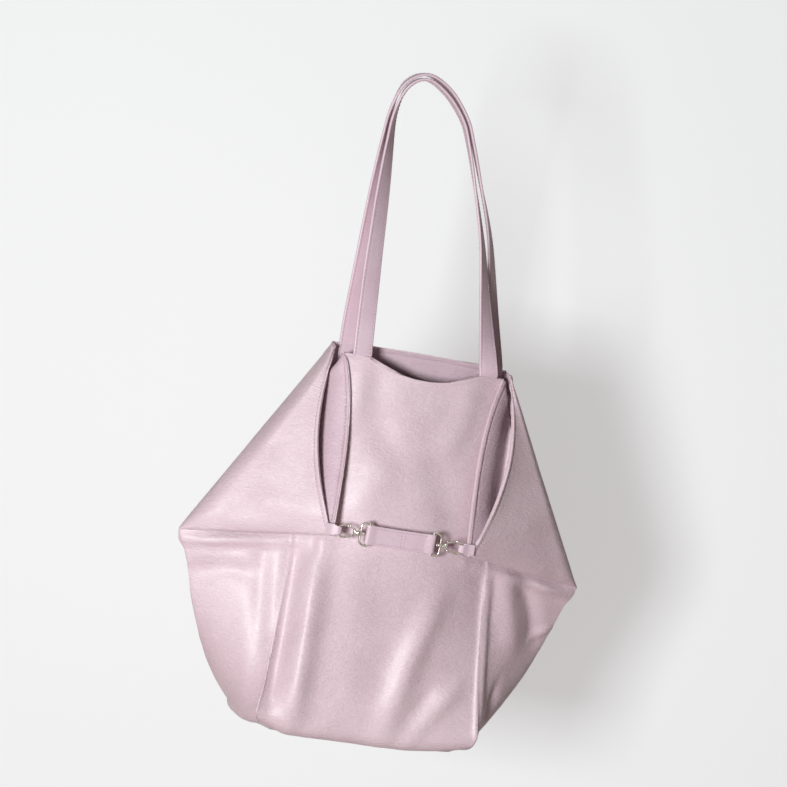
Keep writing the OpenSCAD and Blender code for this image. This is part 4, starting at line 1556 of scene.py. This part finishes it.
@dataclass
class Clasp:
    """One swivel snap hook with its gate, and the leather loop that it holds.

    Attributes:
        side: Left or right.
        finishes: The bag's materials.
        connector_x: The connector's middle, in millimetres.
        bar_x: From there to an eye's bar.
        centre_y: Where the swivel's axis lies, from front to back.
        centre_z: The axis's height.
        eye_reach: From the eye's bar to the swivel.
        bow_x: From the swivel to the middle of the bow's round end.
        bow_r: The radius of that end, to the wire's middle.
        rise: The slope of the bow's straight sides, in radians.
        pivot: Where the gate's pin is, as x and z from the swivel.
    """

    side: Side
    finishes: Finishes
    connector_x: float = -2.0
    bar_x: float = 34.0
    centre_y: float = -67.0
    centre_z: float = 219.5
    eye_reach: float = 10.3
    bow_x: float = 16.0
    bow_r: float = 6.25
    rise: float = math.radians(12.6)
    pivot: tuple[float, float] = (4.6, 3.1)

    @property
    def word(self) -> str:
        """The side's name in a node."""
        return self.side.name.lower()

    @property
    def placement(self) -> Matrix:
        """What takes the hook's own frame to the bag's, in metres."""
        x = self.connector_x + self.side.value * (self.bar_x + self.eye_reach)
        move = Matrix.Translation(Vector((x, self.centre_y, self.centre_z)))
        flip = Matrix.Diagonal((self.side.value, 1, 1, 1))
        return Matrix.Scale(MM, 4) @ move @ flip

    def bow_point(self, angle: float) -> Vector:
        """Return a point of the bow's round end; the angle is counted from straight out."""
        return Vector((self.bow_x + self.bow_r * math.cos(angle), 0, self.bow_r * math.sin(angle)))

    def side_point(self, x: float, up: int) -> Vector:
        """Return a point of one of the bow's straight sides."""
        tip_x = self.bow_x - self.bow_r * math.sin(self.rise)
        tip_z = self.bow_r * math.cos(self.rise)
        return Vector((x, 0, up * (tip_z - math.tan(self.rise) * (tip_x - x))))

    def place(self, bm: bmesh.types.BMesh, name: str, node: str) -> bpy.types.Object:
        """Put a finished metal mesh where the hook is, in place of its node, which is hidden."""
        bmesh.ops.transform(bm, matrix=self.placement, verts=bm.verts)
        bmesh.ops.recalc_face_normals(bm, faces=bm.faces)
        piece = new_object(name, bm, self.finishes.nickel)
        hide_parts(node)
        return piece

    def turned(self, outline: Sequence[tuple[float, float]]) -> bmesh.types.BMesh:
        """Turn an outline of x and radius round the stud's axis and return the solid."""
        bm = bmesh.new()
        verts = [bm.verts.new((x, 0, r)) for x, r in outline]
        edges = [bm.edges.new(pair) for pair in zip(verts, verts[1:])]
        bmesh.ops.spin(
            bm, geom=verts + edges, cent=(0, 0, 0), axis=(1, 0, 0), angle=2 * math.pi,
            steps=24, use_merge=True,
        )
        bmesh.ops.remove_doubles(bm, verts=bm.verts, dist=1e-4)
        return bm

    def body(self) -> bpy.types.Object:
        """Make the hook: ball, stud, collar, forked neck and the open bow."""
        outline = [
            (-6.75, 0.0), (-6.6, 0.8), (-6.1, 1.4), (-5.1, 1.7), (-4.4, 1.45), (-3.9, 1.3), (-0.35, 1.3),
            (-0.1, 2.0), (0.15, 2.45), (0.6, 2.6), (1.5, 2.6), (1.9, 2.4), (2.2, 2.2), (3.4, 2.0),
            (4.2, 1.2), (4.3, 0.0),
        ]
        bm = self.turned(outline)
        neck = bmesh.ops.create_cube(bm, size=1.0)["verts"]
        for vert in neck:
            outer, upper = vert.co.x > 0, vert.co.z > 0
            wide = 4.4 if outer else 2.1
            vert.co = Vector((3.9 + 1.7 * (1 if outer else -1), vert.co.y * 3.6, wide * (1 if upper else -1)))
        bmesh.ops.bevel(
            bm, geom=list({e for v in neck for e in v.link_edges}), offset=0.7, offset_type="OFFSET",
            segments=3, profile=0.5, affect="EDGES", material=-1,
        )
        route = [self.side_point(x, -1) for x in (5.0, 7.0, 9.5, 12.0)]
        first, last = -math.pi / 2 - self.rise, math.radians(107)
        steps = 22
        route += [self.bow_point(mix(first, last, i / steps)) for i in range(steps + 1)]
        radii = [(1.2, 1.25)] * len(route)
        radii[0], radii[-1] = (1.1, 1.5), (0.8, 0.95)
        wire = tube(route, radii, Vector((0, 1, 0)))
        merge(bm, wire)
        return self.place(bm, f"{self.word}_hook_wire", f"{self.word}_hook_body")

    def gate(self) -> bpy.types.Object:
        """Make the gate: a sprung finger with a thumb knob, from the neck to the bow's nose."""
        px, pz = self.pivot
        route = [Vector((px, 0, pz)), Vector((6.2, 0, 4.2))]
        route += [self.side_point(x, 1) for x in (8.0, 10.0, 12.0, 13.4)]
        radii = [(1.15, 0.6), (0.95, 0.7), (0.9, 0.88), (0.85, 0.9), (0.82, 0.9), (0.7, 0.8)]
        bm = tube(route, radii, Vector((0, 1, 0)), around=12)
        knob = bmesh.ops.create_uvsphere(bm, u_segments=12, v_segments=8, radius=1.05)["verts"]
        bmesh.ops.translate(bm, verts=knob, vec=Vector((9.4, 0, 6.2)))
        return self.place(bm, f"{self.word}_gate_finger", f"{self.word}_gate")

    def loop(self) -> bpy.types.Object:
        """Make the leather loop: a strip through the bow with both tails sewn to the wing."""
        bow_end, inset = 7.2, 2.15
        reach = self.eye_reach + self.bow_x + bow_end - inset
        x0 = self.side.value * self.connector_x + self.bar_x + reach
        knots = [
            Vector((14, 0.75, 0)), Vector((8, 0.75, 0)), Vector((4, 1.7, 0)), Vector((1.2, 2.55, 0)),
            Vector((-1.6, 2.0, 0)), Vector((-2.6, 0, 0)), Vector((-1.6, -2.0, 0)), Vector((1.2, -2.55, 0)),
            Vector((4, -1.7, 0)), Vector((8, -0.62, 0)), Vector((14, -0.62, 0)),
        ]

        steps, across = 6, 8

        def where(column: int, row: int) -> Vector:
            """Return a point of the strip, which widens from the bow to the wing."""
            p = catmull(knots, clamp(column / steps, 0, len(knots) - 1 - 1e-6))
            half = mix(3.8, 5.8, smooth((p.x + 1) / 8))
            up = (row / across * 2 - 1) * half
            return Vector((self.side.value * (x0 + p.x), self.centre_y + p.y, self.centre_z + up))

        bm = mapped_grid(steps * (len(knots) - 1), across, where)
        bmesh.ops.recalc_face_normals(bm, faces=bm.faces)
        piece = new_object(f"{self.word}_loop_leather", bm, self.finishes.strap)
        solidify(piece, 0.0012, 0.0003)
        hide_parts(f"{self.word}_loop_tab")
        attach(piece, "shell")
        return piece

    def build(self) -> list[bpy.types.Object]:
        """Make the clasp.

        Returns:
            Its pieces.
        """
        body, gate = self.body(), self.gate()
        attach(body, f"{self.word}_hook")
        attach(gate, f"{self.word}_gate")
        return [body, gate, self.loop()]


# The studio


@dataclass
class Studio:
    """The pale wall and floor, the soft lamps and the camera.

    Attributes:
        azimuth: Where the camera stands, in degrees round the bag.
        elevation: How far it stands above the horizon.
        roll: How far it is turned about its own axis.
        distance: How far it stands from its target, in metres.
        target: The point that it looks at.
        lens: The focal length, in millimetres on a 36 mm sensor.
        dim: Strength of the room's own light.
        gleam: Strength of the room in reflections.
        wall_gap: How far the wall stands behind the bag, in metres.
        floor_z: The floor's height.
    """

    azimuth: float = -13.7134
    elevation: float = 6.0469
    roll: float = 10.9654
    distance: float = 2.3012
    target: Vector = field(default_factory=lambda: Vector((-0.022, 0.0, 0.3588)))
    lens: float = 101.094
    dim: float = 0.05
    gleam: float = 0.55
    wall_gap: float = 0.5
    floor_z: float = -0.75

    def direction(self, azimuth: float, elevation: float) -> Vector:
        """Return the direction from the bag to a place round it."""
        a, e = math.radians(azimuth), math.radians(elevation)
        return Vector((math.sin(a) * math.cos(e), -math.cos(a) * math.cos(e), math.sin(e)))

    def camera(self) -> None:
        """Stand the camera where the photo was taken from."""
        data = bpy.data.cameras.new("view")
        data.lens = self.lens
        data.sensor_width = 36.0
        data.clip_start, data.clip_end = 0.1, 50.0
        made = bpy.data.objects.new("view", data)
        bpy.context.scene.collection.objects.link(made)
        back = self.direction(self.azimuth, self.elevation)
        made.location = self.target + back * self.distance
        turn = (-back).to_track_quat("-Z", "Y").to_matrix().to_4x4()
        made.rotation_euler = (turn @ Matrix.Rotation(math.radians(self.roll), 4, "Z")).to_euler()
        bpy.context.scene.camera = made

    def lamp(
        self,
        name: str,
        azimuth: float,
        elevation: float,
        far: float,
        size: float,
        power: float,
        colour: tuple[float, float, float],
    ) -> bpy.types.Object:
        """Hang one soft square lamp that points at the bag.

        Args:
            name: The lamp's name.
            azimuth: Where it hangs, in degrees round the bag.
            elevation: How far it hangs above the horizon.
            far: How far it is from the bag, in metres.
            size: Its side, in metres.
            power: Its power, in watts.
            colour: Its colour.

        Returns:
            The lamp.
        """
        data = bpy.data.lights.new(name, "AREA")
        data.shape = "SQUARE"
        data.size = size
        data.energy = power
        data.color = colour
        made = bpy.data.objects.new(name, data)
        bpy.context.scene.collection.objects.link(made)
        back = self.direction(azimuth, elevation)
        bag_middle = Vector((0, 0, 0.33))
        made.location = bag_middle + back * far
        made.rotation_euler = (-back).to_track_quat("-Z", "Y").to_euler()
        return made

    def backdrop(self) -> bpy.types.Object:
        """Sweep a wall behind the bag down into a floor far below it."""
        back = -self.direction(self.azimuth, 0.0)
        across = Vector((-back.y, back.x, 0.0))
        top, bend, half_width, floor_reach, steps = 3.5, 0.5, 5.0, 5.0, 10
        profile = [(self.wall_gap, top), (self.wall_gap, self.floor_z + bend)]
        profile += [
            (self.wall_gap - bend * (1 - math.cos(a)), self.floor_z + bend * (1 - math.sin(a)))
            for a in (math.pi / 2 * i / steps for i in range(1, steps + 1))
        ]
        profile.append((-floor_reach, self.floor_z))
        bm = bmesh.new()
        side = across * half_width
        verts = [bm.verts.new(back * out + side + Vector((0, 0, z))) for out, z in profile]
        edges = [bm.edges.new(pair) for pair in zip(verts, verts[1:])]
        grown = bmesh.ops.extrude_edge_only(bm, edges=edges)["geom"]
        moved = [v for v in grown if isinstance(v, bmesh.types.BMVert)]
        bmesh.ops.translate(bm, verts=moved, vec=across * (-2 * half_width))
        bmesh.ops.recalc_face_normals(bm, faces=bm.faces)
        bm.normal_update()
        if sum(f.normal.z for f in bm.faces) < 0:
            bmesh.ops.reverse_faces(bm, faces=bm.faces)
        wall = PlainWall("white_wall", srgb(243, 243, 243), srgb(150, 116, 112), 0.5)
        piece = new_object("backdrop", bm, wall.build())
        return piece

    def pass_wall(self, lamp: bpy.types.Object, wall: bpy.types.Object) -> None:
        """Let a lamp beyond the wall light the bag and nothing else.

        Args:
            lamp: The lamp, which doesn't show in reflections either.
            wall: What it neither lights nor is stopped by.
        """
        lamp.visible_glossy = False
        left_out = bpy.data.collections.new("left_out_of_the_back_lamp")
        left_out.objects.link(wall)
        left_out.collection_objects[0].light_linking.link_state = "EXCLUDE"
        lamp.light_linking.receiver_collection = left_out
        lamp.light_linking.blocker_collection = left_out

    def build(self) -> None:
        """Set up the view, the wall, the lamps and the even light of the room."""
        self.camera()
        wall = self.backdrop()
        self.lamp("key", -31.0, 1.0, 2.4, 0.45, 62.0, (0.93, 0.99, 1.0))
        self.lamp("fill", -20.0, -4.0, 2.8, 1.2, 8.0, (1.0, 0.94, 0.93))
        self.pass_wall(self.lamp("back", 166.0, 14.0, 2.4, 0.8, 44.0, (0.96, 0.99, 1.0)), wall)
        self.room()
        bpy.context.scene.view_settings.view_transform = "Standard"

    def room(self) -> None:
        """Fill the room with dim warm light; the camera sees it white, and reflections see it pale."""
        world = bpy.data.worlds.new("room")
        world.use_nodes = True
        nodes, links = world.node_tree.nodes, world.node_tree.links
        dim = nodes["Background"]
        dim.inputs["Color"].default_value = (1.0, 0.82, 0.79, 1.0)
        dim.inputs["Strength"].default_value = self.dim
        path = nodes.new("ShaderNodeLightPath")
        below = dim
        for ray, strength in (("Is Glossy Ray", self.gleam), ("Is Camera Ray", 1.0)):
            bright, choice = nodes.new("ShaderNodeBackground"), nodes.new("ShaderNodeMixShader")
            bright.inputs["Color"].default_value = (1.0, 1.0, 1.0, 1.0)
            bright.inputs["Strength"].default_value = strength
            links.new(path.outputs[ray], choice.inputs[0])
            links.new(below.outputs[0], choice.inputs[1])
            links.new(bright.outputs[0], choice.inputs[2])
            below = choice
        links.new(below.outputs[0], nodes["World Output"].inputs["Surface"])
        bpy.context.scene.world = world


def dress_frame(frame: dict, finishes: Finishes) -> None:
    """Give the CAD nodes that stay their own finishes.

    Args:
        finishes: The bag's materials.
    """
    kept = {"base_board": finishes.board}
    for word in ("left", "right"):
        kept[f"{word}_strap_eye"] = finishes.nickel
        kept[f"{word}_gate_pin"] = finishes.nickel
        kept[f"{word}_gate_spring"] = finishes.nickel
    for node, material in kept.items():
        for slot in frame["nodes"][node].material_slots:
            slot.material = material


def main() -> None:
    """Build the studio and the bag, one sub-assembly after the other."""
    logging.basicConfig(level=logging.INFO, format="%(name)s %(relativeCreated)d ms: %(message)s")
    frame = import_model()
    finishes = Finishes()
    Studio().build()
    groups = {
        "shell": Shell(finishes, creases=CREASES).build(),
        "front strap": Strap(
            "front_handle", FRONT_KNOTS, -1, (-27.6, 396.6), LEFT_TWIST, RIGHT_TWIST, finishes
        ).build(),
        "rear strap": Strap(
            "rear_handle", REAR_KNOTS, 1, (7.2, 404.1), LEFT_TWIST, RIGHT_TWIST, finishes
        ).build(),
        "connector": Connector(finishes).build(),
        "left clasp": Clasp(Side.LEFT, finishes).build(),
        "right clasp": Clasp(Side.RIGHT, finishes).build(),
    }
    dress_frame(frame, finishes)
    for name, pieces in groups.items():
        log.info("%s: %s", name, ", ".join(p.name for p in pieces))


if __name__ == "__main__":
    main()
